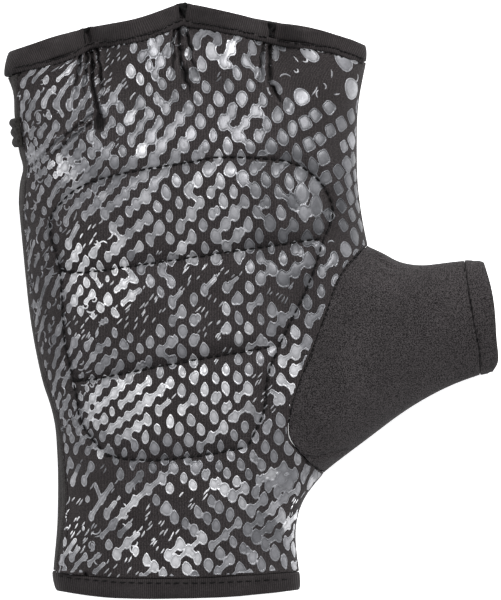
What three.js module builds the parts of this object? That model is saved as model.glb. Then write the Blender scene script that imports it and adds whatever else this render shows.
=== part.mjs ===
// A fingerless training glove that lies on its back, palm up, in millimetres.
// +Y points to the fingers, +X to the thumb and +Z away from the surface it lies on.
// Every wall of the glove is drawn on one surface: a plan net gives x and y, and the height
// above the side folds gives z. Each piece is a stretch of that surface with its own thickness.

import * as THREE from 'three';

// Walls, seams and trims. A trim's open edge is drawn in by a share of its wall on each face.
const fabricWall = 1.5;
const seamGap = 0.35;
const thumbSeamGap = 0.21;
const padRise = 1.9;
const bandProud = 0.4;
const bandWall = 1.9;
const hemProud = 0.3;
const hemWall = 1.8;
const trimDraw = 0.24;

// Form of the hollow glove
const foldHeight = 7;
const palmRound = 26;
const backRound = 9;
const thumbDrop = 0.36;
const thumbFrom = 24;
const thumbTo = 62;
const foldSnap = 0.15;
const palmInset = { wrist: 3.2, hand: 2.1, fingers: 4.2 };

// Threads that join palm and back between the fingers
const tackHeight = 5.2;
const tackLength = 22;
const tackSpread = 5;
const tackFlat = 1.1;
const tackWidth = 1.2;
const tackThread = 0.6;
const tackReach = 4.2;
const tackTongue = 2.94;
const tackFoot = 0.6;
const tackSlope = 0.15;
const tackRound = 0.36;

// Ribbed tab on the little finger's side
const tabSections = { from: 12.42, to: 12.98 };
const tabRibs = 3;
const tabWall = 0.8;
const tabRibRise = 0.75;

const colours = {
  print: '#3c3838',
  jersey: '#46423f',
  tape: '#383435',
  thread: '#1c1b1c',
  rubber: '#2a2729',
};

// Height of the palm above the side folds, along the hand
const crown = [
  { y: -84, rise: 13 },
  { y: -48, rise: 16.5 },
  { y: -5, rise: 18.5 },
  { y: 35, rise: 18 },
  { y: 64, rise: 12 },
  { y: 84, rise: 8 },
];

// Sections from the wrist to the fingers. The four columns are lines that run along the hand:
// the outer and inner edge of the palm pad, and the ring and middle finger between them.
const columns = ['outerLine', 'ringLine', 'middleLine', 'thumbLine'];
const sections = [
  { name: 'wristEdge', net: [[-42.4, -82.7], [-29.8, -83.2], [-17.2, -83.0], [-5.5, -82.6]] },
  { name: 'wristSeam', net: [[-42.4, -77.3], [-29.8, -77.7], [-17.2, -77.6], [-5.5, -77.0]] },
  { name: 'waist', net: [[-42.7, -66.4], [-29.8, -66.6], [-17.2, -66.4], [-4.3, -65.8]] },
  { name: 'bend', net: [[-43.3, -57.4], [-29.8, -58.0], [-16.9, -57.4], [-3.5, -56.0]] },
  { name: 'heel', net: [[-43.8, -49.8], [-30.4, -51.2], [-16.9, -50.7], [-1.8, -47.6]] },
  { name: 'padFoot', net: [[-43.3, -41.4], [-31.2, -44.5], [-17.5, -43.1], [-2.1, -40.9]] },
  { name: 'lowPad', net: [[-47.7, -31.6], [-31.2, -31.6], [-15.0, -30.2], [3.5, -30.2]] },
  { name: 'padLow', net: [[-49.1, -23.0], [-31.2, -19.9], [-13.0, -16.2], [7.4, -12.3]] },
  { name: 'midPad', net: [[-52.2, -8.4], [-32.6, -5.0], [-10.2, -1.7], [13.9, 0.3]] },
  { name: 'padHigh', net: [[-53.3, 7.6], [-34.0, 9.2], [-10.2, 12.6], [20.0, 17.1]] },
  { name: 'upPad', net: [[-56.1, 20.7], [-36.8, 23.2], [-10.2, 26.3], [22.8, 24.6]] },
  { name: 'padHead', net: [[-50.3, 30.0], [-31.2, 36.1], [-7.4, 39.8], [18.9, 33.0]] },
  { name: 'crease', net: [[-46.9, 42.0], [-31.2, 46.2], [-11.1, 49.8], [12.7, 44.0]] },
  { name: 'knuckle', net: [[-43.5, 54.0], [-31.8, 58.8], [-16.9, 61.6], [7.6, 54.6]] },
  { name: 'fingerSeam', net: [[-45.4, 70.6], [-32.4, 73.0], [-19.5, 77.8], [5.4, 72.9]] },
  { name: 'fingerEdge', net: [[-46.4, 76.0], [-32.8, 78.2], [-19.2, 83.2], [5.7, 77.6]] },
];

// The two long edges of the net, from section to section. The outer one is the fold on the
// little finger's side. The inner one is a fold, then the thumb's seam, then a fold again.
const outerFold = {
  from: 0,
  step: 1,
  points: [[-54.5, -81.2], [-55.5, -75.6], [-54.5, -65.0], [-54.2, -56.0], [-54.2, -47.6],
    [-54.5, -40.9], [-55.3, -32.2], [-58.4, -23.0], [-61.5, -8.4], [-63.1, 5.3],
    [-64.3, 17.9], [-65.2, 28.0], [-64.7, 37.0], [-66.4, 51.0], [-69.0, 62.2], [-67.9, 69.4]],
};
const lowerFold = {
  from: 0,
  step: 1,
  points: [[13.6, -80.9], [13.4, -75.9], [12.2, -65.2], [14.4, -55.8], [20.4, -48.2]],
};
const thumbSeam = {
  from: 4,
  step: 0.5,
  points: [[20.4, -48.2], [15.1, -44.5], [11.1, -39.8], [10.2, -35.0], [11.1, -29.4],
    [13.9, -21.3], [17.2, -13.2], [19.7, -6.2], [22.3, 1.4], [25.8, 8.4], [32.5, 15.3]],
};
const upperFold = {
  from: 9,
  step: 1,
  points: [[32.5, 15.3], [30.8, 23.5], [29.7, 33.0], [29.5, 42.0], [29.8, 54.8],
    [32.1, 66.4], [32.1, 71.1]],
};

// The thumb, from its seam on the palm to its hem, and the hem's own width
const thumbUpper = [[32.5, 15.3], [37.1, 13.4], [41.0, 11.0], [47.2, 9.8], [53.9, 10.6], [59.6, 11.2]];
const thumbLower = [[20.4, -48.2], [27.0, -43.1], [33.7, -38.1], [40.5, -32.8], [47.2, -28.4],
  [55.6, -23.9], [64.2, -20.9]];
const hemLine = [[59.6, 11.2], [60.9, 1.0], [62.6, -8.0], [63.8, -14.0], [64.2, -20.9]];
const hemTip = [[64.9, 10.8], [66.9, 3.4], [67.9, -3.4], [68.3, -11.0], [69.0, -16.8], [67.6, -20.0]];

// Where the finger threads sit on the edge, and how far their valleys lean towards the thumb
const tacks = [
  { name: 'finger_tack_1', x: -46.2, y: 76.1, lean: 0.12 },
  { name: 'finger_tack_2', x: -19.2, y: 83.2, lean: 0.08 },
  { name: 'finger_tack_3', x: 5.7, y: 78.0, lean: 0.09 },
];

const sectionAt = (name) => sections.findIndex((section) => section.name === name);
const lastOf = (points) => points[points.length - 1];
const clamp01 = (value) => Math.min(1, Math.max(0, value));
const lerp = (a, b, t) => a + (b - a) * t;

function smoothStep(from, to, value) {
  const t = clamp01((value - from) / (to - from));
  return t * t * (3 - 2 * t);
}

// Catmull-Rom through plan points, with plain ends
function curvePoint(points, at) {
  const last = points.length - 1;
  const i = Math.min(last - 1, Math.max(0, Math.floor(at)));
  const t = at - i;
  const b = points[i];
  const c = points[i + 1];
  const a = i > 0 ? points[i - 1] : [2 * b[0] - c[0], 2 * b[1] - c[1]];
  const d = i + 2 <= last ? points[i + 2] : [2 * c[0] - b[0], 2 * c[1] - b[1]];
  return [0, 1].map((k) => 0.5 * (2 * b[k] + (c[k] - a[k]) * t
    + (2 * a[k] - 5 * b[k] + 4 * c[k] - d[k]) * t * t
    + (3 * b[k] - a[k] - 3 * c[k] + d[k]) * t * t * t));
}

const alongCurve = (points, t) => curvePoint(points, t * (points.length - 1));

function edgePoint(edge, section) {
  return curvePoint(edge.points, (section - edge.from) / edge.step);
}

function innerEdge(section) {
  if (section < thumbSeam.from) return edgePoint(lowerFold, section);
  if (section < upperFold.from) return edgePoint(thumbSeam, section);
  return edgePoint(upperFold, section);
}

// Plan point of the hand: section counts along it, column across it from 0 to 5. At the
// fingers the edge comes to a point on the middle finger's line and arches over the index finger.
const innerColumn = columns.length + 1;
const peakColumn = columns.indexOf('middleLine') + 1;
const peakFrom = sectionAt('knuckle') - 0.5;
const archColumn = columns.indexOf('thumbLine') + 1;
const indexArch = 1.2;

function handPlan(section, column) {
  const row = [edgePoint(outerFold, section)];
  columns.forEach((line, index) => {
    row.push(curvePoint(sections.map((each) => each.net[index]), section));
  });
  row.push(innerEdge(section));
  const smooth = curvePoint(row, column);
  const pointed = column < peakColumn
    ? curvePoint(row.slice(0, peakColumn + 1), column)
    : curvePoint(row.slice(peakColumn), column - peakColumn);
  const share = smoothStep(peakFrom, sectionAt('fingerSeam'), section);
  const arch = indexArch * share * Math.sin(Math.PI * clamp01(column - archColumn));
  return [lerp(smooth[0], pointed[0], share), lerp(smooth[1], pointed[1], share) + arch];
}

// Plan point of the thumb: around runs from its upper to its lower edge, out from seam to hem
function thumbPlan(around, out) {
  const seam = alongCurve([...thumbSeam.points].reverse(), around);
  const hem = alongCurve(hemLine, around);
  const upper = alongCurve(thumbUpper, out);
  const lower = alongCurve(thumbLower, out);
  return [0, 1].map((k) => {
    const across = lerp(seam[k], hem[k], out);
    const along = lerp(upper[k], lower[k], around);
    const corners = lerp(
      lerp(thumbUpper[0][k], thumbLower[0][k], around),
      lerp(hemLine[0][k], lastOf(hemLine)[k], around),
      out,
    );
    return across + along - corners;
  });
}

const hemPlan = (around, out) => {
  const line = alongCurve(hemLine, around);
  const tip = alongCurve(hemTip, around);
  return [lerp(line[0], tip[0], out), lerp(line[1], tip[1], out)];
};

// Fold lines of the whole glove as dense polylines, each run on past its openings
const foldSteps = 8;
const foldOverrun = 12;

function densePoints(points) {
  const dense = [];
  const steps = (points.length - 1) * foldSteps;
  for (let i = 0; i <= steps; i += 1) dense.push(curvePoint(points, i / foldSteps));
  return dense;
}

function overrun(end, before) {
  const run = Math.hypot(end[0] - before[0], end[1] - before[1]);
  return [0, 1].map((k) => end[k] + ((end[k] - before[k]) * foldOverrun) / run);
}

function foldLine(...stretches) {
  const line = stretches.flatMap((points) => densePoints(points));
  const last = line.length - 1;
  return [overrun(line[0], line[1]), ...line, overrun(line[last], line[last - foldSteps])];
}

const folds = [
  foldLine(outerFold.points),
  foldLine(lowerFold.points, thumbLower, [lastOf(hemLine), lastOf(hemTip)]),
  foldLine([...upperFold.points].reverse(), thumbUpper, [hemLine[0], hemTip[0]]),
];

function distanceTo(line, x, y) {
  let nearest = Infinity;
  for (let i = 0; i + 1 < line.length; i += 1) {
    const [ax, ay] = line[i];
    const dx = line[i + 1][0] - ax;
    const dy = line[i + 1][1] - ay;
    const length = dx * dx + dy * dy;
    const t = length > 0 ? clamp01(((x - ax) * dx + (y - ay) * dy) / length) : 0;
    nearest = Math.min(nearest, Math.hypot(x - ax - dx * t, y - ay - dy * t));
  }
  return nearest < foldSnap ? 0 : nearest;
}

// 0 on a fold and 1 from the given distance inwards, along a quarter of an ellipse
function roundOver(x, y, radius) {
  return folds.reduce((product, line) => {
    const inward = 1 - Math.min(1, distanceTo(line, x, y) / radius);
    return product * Math.sqrt(1 - inward * inward);
  }, 1);
}

function crownRise(y) {
  const above = crown.findIndex((row) => row.y > y);
  if (above === 0) return crown[0].rise;
  if (above < 0) return crown[crown.length - 1].rise;
  const low = crown[above - 1];
  const high = crown[above];
  return lerp(low.rise, high.rise, smoothStep(low.y, high.y, y));
}

// How far a finger thread pulls the palm down at a place, from 0 to 1
function tackPull(tack, x, y) {
  const back = clamp01((tack.y - y) / tackLength);
  const valleyX = tack.x + tack.lean * Math.max(0, tack.y - y);
  const aside = Math.max(0, Math.abs(x - valleyX) - tackFlat) / tackSpread;
  return Math.cos((back * Math.PI) / 2) ** 2 * Math.exp(-aside * aside);
}

function palmHeight(x, y) {
  const drop = 1 - thumbDrop * smoothStep(thumbFrom, thumbTo, x);
  const height = foldHeight + crownRise(y) * drop * roundOver(x, y, palmRound);
  return tacks.reduce((z, tack) => lerp(z, tackHeight, tackPull(tack, x, y)), height);
}

const backHeight = (x, y) => foldHeight * (1 - roundOver(x, y, backRound));

const onPalm = ([x, y]) => new THREE.Vector3(x, y, palmHeight(x, y));
const onBack = ([x, y]) => new THREE.Vector3(x, y, backHeight(x, y));

// A closed wall on a grid of points, whose rows and columns turn outwards by the right-hand
// rule. The first and last rows only steer the normals, and so do the first and last columns
// of an open wall. outer and inner give the offsets of its two faces along the normals, and
// loop joins the last column to the first.
function wallGeometry(grid, outer, inner, loop = false) {
  const border = loop ? 0 : 1;
  const width = grid[0].length;
  const rowCount = grid.length - 2;
  const columnCount = width - 2 * border;
  const positions = [];
  [outer, inner].forEach((offset) => {
    for (let i = 0; i < rowCount; i += 1) {
      for (let j = 0; j < columnCount; j += 1) {
        const row = grid[i + 1];
        const at = j + border;
        const across = row[(at + 1) % width].clone().sub(row[(at + width - 1) % width]);
        const along = grid[i + 2][at].clone().sub(grid[i][at]);
        const normal = across.cross(along).normalize();
        const moved = row[at].clone().addScaledVector(normal, offset(i, j, row[at]));
        positions.push(moved.x, moved.y, moved.z);
      }
    }
  });
  const out = (i, j) => i * columnCount + (j % columnCount);
  const inn = (i, j) => rowCount * columnCount + out(i, j);
  const index = [];
  const quad = (a, b, c, d) => index.push(a, b, c, a, c, d);
  const columnSteps = loop ? columnCount : columnCount - 1;
  const lastRow = rowCount - 1;
  const lastColumn = columnCount - 1;
  for (let j = 0; j < columnSteps; j += 1) {
    for (let i = 0; i < lastRow; i += 1) {
      quad(out(i, j), out(i, j + 1), out(i + 1, j + 1), out(i + 1, j));
      quad(inn(i, j), inn(i + 1, j), inn(i + 1, j + 1), inn(i, j + 1));
    }
    quad(inn(0, j), inn(0, j + 1), out(0, j + 1), out(0, j));
    quad(out(lastRow, j), out(lastRow, j + 1), inn(lastRow, j + 1), inn(lastRow, j));
  }
  if (!loop) {
    for (let i = 0; i < lastRow; i += 1) {
      quad(out(i, 0), out(i + 1, 0), inn(i + 1, 0), inn(i, 0));
      quad(inn(i, lastColumn), inn(i + 1, lastColumn), out(i + 1, lastColumn), out(i, lastColumn));
    }
  }
  const geometry = new THREE.BufferGeometry();
  geometry.setAttribute('position', new THREE.Float32BufferAttribute(positions, 3));
  geometry.setIndex(index);
  geometry.computeVertexNormals();
  return geometry;
}

function piece(name, geometry, colour, roughness) {
  const material = new THREE.MeshStandardMaterial({ color: colour, roughness, metalness: 0 });
  const mesh = new THREE.Mesh(geometry, material);
  mesh.name = name;
  return mesh;
}

// Steps across the hand: close together at the folds, the pad's edges and the valleys.
// Those of the outer flank are shares of the way to the printed palm's edge and on from it.
const foldShares = [0, 0.12, 0.4, 0.75];
const flankShares = [0.06, 0.22, 0.48, 0.76, 0.94];
const besideFold = 4.96;
const padColumns = { from: 1.07, to: 3.95 };
const middleColumns = [padColumns.from, 1.3, 1.65, 2, 2.4, 2.75, 2.93, 3.05, 3.25, 3.5, 3.75,
  padColumns.to];
const sideColumns = [4.03, 4.13, 4.35, 4.65, 4.86, besideFold];
const backColumns = [besideFold, 4.8, 4.4, 3.7, 2.9, 2.2, 1.6, 1.1, 0.7, 0.4, 0.22, 0.1, 0.03];

// Steps along the hand, and inside each padded cell as shares of it
const openSteps = 2;
const cellSteps = [0, 0.11, 0.34, 0.66, 0.89];
const steerStep = 0.2;
const flareFrom = 0.8;
const padLines = ['padFoot', 'padLow', 'padHigh', 'padHead'].map(sectionAt);
const wristSeam = sectionAt('wristSeam');
const bend = sectionAt('bend');
const fingerSeam = sectionAt('fingerSeam');
const fingerEdge = sectionAt('fingerEdge');

function openSections(from, to) {
  const steps = [];
  for (let i = from * openSteps; i < to * openSteps; i += 1) steps.push(i / openSteps);
  return steps;
}

// Half a seam gap as a share of a section, and across the hand as a share of a column
function sectionShare(section) {
  const probe = 0.1;
  const here = onPalm(handPlan(section, 2));
  return (seamGap / 2) * (probe / here.distanceTo(onPalm(handPlan(section + probe, 2))));
}

function columnShare(section) {
  const probe = 0.02;
  const before = onPalm(handPlan(section, palmEdge(section) - probe));
  const after = onPalm(handPlan(section, palmEdge(section) + probe));
  return (seamGap / 2) * ((2 * probe) / before.distanceTo(after));
}

// Column of the printed palm's outer edge, where the back wraps round to meet it
function palmEdge(section) {
  const [foldX, foldY] = handPlan(section, 0);
  const [lineX, lineY] = handPlan(section, 1);
  const low = lerp(palmInset.wrist, palmInset.hand, smoothStep(bend, padLines[0], section));
  const flare = smoothStep(fingerSeam - flareFrom, fingerSeam, section);
  const inset = lerp(low, palmInset.fingers, flare);
  return inset / Math.hypot(lineX - foldX, lineY - foldY);
}

function palmColumns(section) {
  const edge = palmEdge(section);
  return [...flankShares.map((share) => lerp(edge, 1, share)), ...middleColumns, ...sideColumns];
}

const foldColumns = (section) => foldShares.map((share) => share * palmEdge(section));

// Sections of a panel between the two bindings, with one more to steer by at either end
function panelSections() {
  const cells = padLines.slice(1).flatMap((line, c) => (
    cellSteps.map((share) => lerp(padLines[c], line, share))));
  return [
    wristSeam - steerStep,
    wristSeam + sectionShare(wristSeam),
    ...openSections(wristSeam, padLines[0]).slice(1),
    ...cells,
    ...openSections(padLines[padLines.length - 1], fingerSeam),
    fingerSeam - sectionShare(fingerSeam),
    fingerSeam + steerStep,
  ];
}

const onThumbSeam = (section) => section > thumbSeam.from && section < upperFold.from;

// The inner edge of a panel stands clear of the thumb, or half a gap above or below the fold.
// The second point steers its normal: past the seam's end, or round the fold.
function panelEdge(section, onSide, onOther, side) {
  const [x, y] = handPlan(section, innerColumn);
  if (onThumbSeam(section)) {
    const point = onSide([x - thumbSeamGap, y]);
    return [point, point];
  }
  const point = onSide([x, y]);
  point.z = foldHeight + (side * seamGap) / 2;
  const beside = handPlan(section, besideFold);
  const steer = onOther(beside);
  steer.z = 2 * point.z - onSide(beside).z;
  return [point, steer];
}

// 1 in the middle of a padded cell and 0 on the lines of stitching round it
function cellPuff(section, column) {
  const cell = padLines.findIndex((line, c) => section >= line && section < padLines[c + 1]);
  if (cell < 0 || column <= padColumns.from || column >= padColumns.to) return 0;
  const along = 2 * ((section - padLines[cell]) / (padLines[cell + 1] - padLines[cell])) - 1;
  const across = 2 * ((column - padColumns.from) / (padColumns.to - padColumns.from)) - 1;
  return (1 - along ** 4) * (1 - across ** 6);
}

function palmPanel() {
  const steps = panelSections();
  const grid = steps.map((section) => [
    onPalm(handPlan(section, palmEdge(section) - columnShare(section))),
    onPalm(handPlan(section, palmEdge(section) + columnShare(section))),
    ...palmColumns(section).map((column) => onPalm(handPlan(section, column))),
    ...panelEdge(section, onPalm, onBack, 1),
  ]);
  const columnAt = [0, ...flankShares, ...middleColumns, ...sideColumns, innerColumn];
  const outer = (i, j) => padRise * cellPuff(steps[i + 1], columnAt[j]);
  const inner = () => -fabricWall;
  return piece('palm_panel', wallGeometry(grid, outer, inner), colours.print, 0.7);
}

function backPanel() {
  const grid = panelSections().map((section) => [
    ...panelEdge(section, onBack, onPalm, -1).reverse(),
    ...backColumns.map((column) => onBack(handPlan(section, column))),
    ...foldColumns(section).map((column) => onPalm(handPlan(section, column))),
    onPalm(handPlan(section, palmEdge(section) - columnShare(section))),
    onPalm(handPlan(section, palmEdge(section) + columnShare(section))),
  ]);
  return piece('back_panel', wallGeometry(grid, () => 0, () => -fabricWall), colours.jersey, 0.85);
}

// A trim stands proud of the fabric, except underneath, where the glove lies flat on it
const trimOffset = (proud) => (i, j, point) => proud * clamp01(point.z / foldHeight);

// Rows of a trim as shares of its width, from its seam to its open edge and a step past it
const trimRows = [0, 0.35, 0.85, 1, 1.2];
const openRow = trimRows.indexOf(1);

// A closed ring of trim. Its row numbered soft is the open edge, whose two faces draw together.
function trimRing(grid, proud, wall, soft) {
  const offset = trimOffset(proud);
  const drawn = (i) => (i === soft ? trimDraw * wall : 0);
  const outer = (i, j, point) => offset(i, j, point) - drawn(i);
  const inner = (i, j, point) => offset(i, j, point) - wall + drawn(i);
  return wallGeometry(grid, outer, inner, true);
}

function handLoop(section) {
  return [
    ...foldColumns(section).map((column) => onPalm(handPlan(section, column))),
    ...palmColumns(section).map((column) => onPalm(handPlan(section, column))),
    onPalm(handPlan(section, innerColumn)),
    ...backColumns.map((column) => onBack(handPlan(section, column))),
  ];
}

function fingerBinding() {
  const seam = fingerSeam + sectionShare(fingerSeam);
  const grid = [
    handLoop(fingerSeam - steerStep),
    ...trimRows.map((share) => handLoop(lerp(seam, fingerEdge, share))),
  ];
  return piece('finger_binding', trimRing(grid, bandProud, bandWall, openRow), colours.tape, 0.8);
}

// Its open edge comes first, because the sections count up from the wrist
function wristBinding() {
  const seam = wristSeam - sectionShare(wristSeam);
  const grid = [
    ...trimRows.map((share) => handLoop(lerp(seam, sectionAt('wristEdge'), share))).reverse(),
    handLoop(wristSeam + steerStep),
  ];
  return piece('wrist_binding', trimRing(grid, bandProud, bandWall, 0), colours.tape, 0.8);
}

// The thumb's tube, as loops over its palm side and back under it. It starts a little clear of
// the seam and stops a little clear of the hem, in shares of its length.
const thumbSides = 14;
const thumbRows = 8;
const thumbClear = { seam: 0.02, hem: 0.006 };
const thumbSteer = 0.94;
const hemStart = 0.04;
const hemSteer = 0.4;

function thumbLoop(plan, out) {
  const around = (j) => (1 - Math.cos((Math.PI * j) / thumbSides)) / 2;
  const loop = [];
  for (let j = 0; j <= thumbSides; j += 1) loop.push(onPalm(plan(around(j), out)));
  for (let j = thumbSides - 1; j > 0; j -= 1) loop.push(onBack(plan(around(j), out)));
  return loop;
}

function thumbStall() {
  const grid = [];
  for (let i = 0; i <= thumbRows; i += 1) {
    grid.push(thumbLoop(thumbPlan, lerp(thumbClear.seam, 1 - thumbClear.hem, i / thumbRows)));
  }
  grid.unshift(grid[0]);
  grid.push(thumbLoop(hemPlan, hemSteer));
  return piece('thumb_stall', wallGeometry(grid, () => 0, () => -fabricWall, true), colours.jersey, 0.9);
}

function thumbHem() {
  const grid = [
    thumbLoop(thumbPlan, thumbSteer),
    ...trimRows.map((share) => thumbLoop(hemPlan, Math.max(hemStart, share))),
  ];
  return piece('thumb_hem', trimRing(grid, hemProud, hemWall, openRow), colours.jersey, 0.85);
}

// The ribbed tab wraps the outer fold, clear of the fabric
function edgeTab() {
  const ribSteps = 4;
  const rows = tabRibs * ribSteps;
  const sectionStep = (tabSections.to - tabSections.from) / rows;
  const backSide = [0.16, 0.1, 0.04];
  const palmSide = [0, 0.02, 0.05, 0.085, 0.12];
  const grid = [];
  for (let i = -1; i <= rows + 1; i += 1) {
    const section = tabSections.from + i * sectionStep;
    grid.push([
      ...backSide.map((column) => onBack(handPlan(section, column))),
      ...palmSide.map((column) => onPalm(handPlan(section, column))),
    ]);
  }
  const rib = (i) => Math.abs(Math.sin((Math.PI * i) / ribSteps));
  const outer = (i) => seamGap + tabWall + tabRibRise * rib(i);
  return piece('edge_tab', wallGeometry(grid, outer, () => seamGap), colours.rubber, 0.6);
}

// A finger thread lies over the palm's binding, turns down past both edges and reaches back
// between the two bindings, so that it holds them together.
function fingerTack(tack) {
  const start = tack.y - tackReach;
  const middle = tack.y - tackReach / 2;
  const front = tack.y + seamGap;
  const tongue = tack.y - tackTongue;
  const top = (y) => palmHeight(tack.x, y) + bandProud + seamGap + tackSlope * (tack.y - y);
  const under = (y) => palmHeight(tack.x, y) + bandProud - bandWall - seamGap;
  const backTop = bandWall + seamGap;
  const outline = new THREE.Shape([
    [start, top(start)],
    [middle, top(middle)],
    [front, top(tack.y)],
    [front, under(tack.y)],
    [tongue, under(tack.y)],
    [tongue, backTop],
    [front, backTop],
    [front, tackFoot],
    [front + tackThread, tackFoot],
    [front + tackThread, top(tack.y) + tackRound],
    [front, top(tack.y) + tackThread],
    [middle, top(middle) + tackThread],
    [start, top(start) + tackThread],
  ].map(([along, up]) => new THREE.Vector2(along, up)));
  const geometry = new THREE.ExtrudeGeometry(outline, { depth: tackWidth, bevelEnabled: false });
  geometry.rotateX(Math.PI / 2);
  geometry.rotateZ(Math.PI / 2);
  const mesh = piece(tack.name, geometry, colours.thread, 0.9);
  mesh.position.x = tack.x - tackWidth / 2;
  return mesh;
}

const glove = new THREE.Group();
glove.add(palmPanel());
glove.add(backPanel());
glove.add(thumbStall());
glove.add(thumbHem());
glove.add(fingerBinding());
glove.add(wristBinding());
glove.add(edgeTab());
tacks.forEach((tack) => glove.add(fingerTack(tack)));

export default glove;
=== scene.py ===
# %% [markdown]
# A fingerless training glove, palm up. The real one is sewn from two stretch knits, a padded and
# printed palm and a plain back, with a ribbed tape round each opening. The measured walls come
# from the CAD frame. This lesson softens them into cloth, quilts the palm, lays the foil print on
# it, and sews the threads.

# %% Load the measured frame
import math
import random

import bmesh
import bpy
import numpy as np
from mathutils import Matrix, Vector, noise
from mathutils.bvhtree import BVHTree
from mathutils.kdtree import KDTree


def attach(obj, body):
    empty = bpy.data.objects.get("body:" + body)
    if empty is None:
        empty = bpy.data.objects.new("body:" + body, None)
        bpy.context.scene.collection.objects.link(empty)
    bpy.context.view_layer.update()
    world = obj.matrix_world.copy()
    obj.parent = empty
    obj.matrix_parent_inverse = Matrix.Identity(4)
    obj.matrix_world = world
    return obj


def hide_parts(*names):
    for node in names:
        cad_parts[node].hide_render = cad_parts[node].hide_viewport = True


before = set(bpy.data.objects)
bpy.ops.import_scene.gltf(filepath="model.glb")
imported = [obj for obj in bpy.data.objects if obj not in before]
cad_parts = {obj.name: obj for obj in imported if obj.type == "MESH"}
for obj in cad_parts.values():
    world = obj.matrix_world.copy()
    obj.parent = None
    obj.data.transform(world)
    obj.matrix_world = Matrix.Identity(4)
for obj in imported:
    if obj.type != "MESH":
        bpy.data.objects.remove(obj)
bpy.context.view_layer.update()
mm = 0.001

# %% [markdown]
# The photograph looks straight down on the palm from far away, so the picture is close to a plan.
# A long lens three metres up gives that view. The frame is 168 mm tall at the glove, fingers up.

# %% Camera
view_height = 168 * mm
camera_height = 3.0
middle = Vector((-0.28 * mm, 0.0, 0.0))
camera = bpy.data.objects.new("camera", bpy.data.cameras.new("camera"))
camera.data.sensor_width = 36.0
camera.data.lens = camera.data.sensor_width * camera_height / view_height
camera.data.clip_end = 20.0
camera.location = middle + Vector((0.0, 0.0, camera_height))
bpy.context.scene.collection.objects.link(camera)
bpy.context.scene.camera = camera

# %% [markdown]
# A soft studio: a glowing white table, a bright dome of grey light, and large area lights. The
# strongest one stands at the upper right and halfway up the sky, so that slopes which lean that
# way catch it: the pressed edges of the foil, the lower lips of the seams, the side of the hand.

# %% Lights
def softbox(name, place, size, watts):
    """A rectangular lamp that looks at the glove."""
    lamp = bpy.data.lights.new(name, "AREA")
    lamp.shape = "RECTANGLE"
    lamp.size, lamp.size_y = size
    lamp.energy = watts
    box = bpy.data.objects.new(name, lamp)
    box.location = place
    box.rotation_mode = "QUATERNION"
    box.rotation_quaternion = (-Vector(place)).to_track_quat("-Z", "Y")
    bpy.context.scene.collection.objects.link(box)
    print(name, "stands at", place, "m")


softbox("key_light", (0.75, 0.85, 1.0), (0.5, 0.5), 18.0)
softbox("top_light", (0.1, 0.8, 1.4), (0.7, 0.4), 8.0)
softbox("side_light", (-1.3, 0.1, 1.0), (0.6, 0.9), 6.0)

world = bpy.data.worlds.new("studio")
world.use_nodes = True
world.node_tree.nodes["Background"].inputs["Color"].default_value = (0.96, 0.97, 1.0, 1.0)
world.node_tree.nodes["Background"].inputs["Strength"].default_value = 0.74
bpy.context.scene.world = world
bpy.context.scene.view_settings.view_transform = "Standard"

# %% [markdown]
# The table is one large flat sheet a hair below the glove. It glows a little, so that it comes
# out as white as the photograph's background while a soft shadow still shows beside the glove.

# %% Floor
floor_half_width = 3.0
floor_clearance = 0.05 * mm
floor_material = bpy.data.materials.new("light_table")
floor_material.use_nodes = True
floor_shader = floor_material.node_tree.nodes["Principled BSDF"]
floor_shader.inputs["Base Color"].default_value = (0.95, 0.95, 0.95, 1.0)
floor_shader.inputs["Roughness"].default_value = 0.9
floor_shader.inputs["Emission Color"].default_value = (1.0, 1.0, 1.0, 1.0)
floor_shader.inputs["Emission Strength"].default_value = 0.68
slab = bmesh.new()
bmesh.ops.create_grid(slab, x_segments=1, y_segments=1, size=floor_half_width)
floor_mesh = bpy.data.meshes.new("floor")
slab.to_mesh(floor_mesh)
slab.free()
floor_mesh.materials.append(floor_material)
floor = bpy.data.objects.new("floor", floor_mesh)
floor.location.z = -floor_clearance
bpy.context.scene.collection.objects.link(floor)
print("floor:", 2 * floor_half_width, "m across")

# %% [markdown]
# Materials are small node trees. A few helpers keep them readable: they add a node with its
# values set by name, tint a pattern between two colours, and turn a pattern into a bump.

# %% Material helpers
def add_node(tree, kind, values=(), **settings):
    node = tree.nodes.new(kind)
    for name, value in settings.items():
        setattr(node, name, value)
    for name, value in dict(values).items():
        node.inputs[name].default_value = value
    return node


def new_material(name, roughness, metallic=0.0, sheen=0.0, specular=0.5):
    material = bpy.data.materials.new(name)
    material.use_nodes = True
    shader = material.node_tree.nodes["Principled BSDF"]
    shader.inputs["Roughness"].default_value = roughness
    shader.inputs["Metallic"].default_value = metallic
    shader.inputs["Sheen Weight"].default_value = sheen
    shader.inputs["Sheen Roughness"].default_value = 0.5
    shader.inputs["Specular IOR Level"].default_value = specular
    return material, material.node_tree, shader


def tone_curve(tree, source, *stops):
    """Greys or colours at set positions, blended between."""
    ramp = add_node(tree, "ShaderNodeValToRGB")
    while len(ramp.color_ramp.elements) < len(stops):
        ramp.color_ramp.elements.new(0.5)
    for element, (position, tone) in zip(ramp.color_ramp.elements, stops):
        element.position = position
        element.color = (*tone, 1.0) if isinstance(tone, tuple) else (tone, tone, tone, 1.0)
    tree.links.new(source, ramp.inputs["Fac"])
    return ramp.outputs["Color"]


def add_bump(tree, shader, height, distance, strength=1.0, under=None):
    bump = add_node(tree, "ShaderNodeBump", {"Strength": strength, "Distance": distance})
    tree.links.new(height, bump.inputs["Height"])
    if under is not None:
        tree.links.new(under, bump.inputs["Normal"])
    tree.links.new(bump.outputs["Normal"], shader.inputs["Normal"])
    return bump.outputs["Normal"]


def object_place(tree):
    return add_node(tree, "ShaderNodeTexCoord").outputs["Object"]


def attribute(tree, name, output):
    return add_node(tree, "ShaderNodeAttribute", attribute_name=name).outputs[output]


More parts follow.
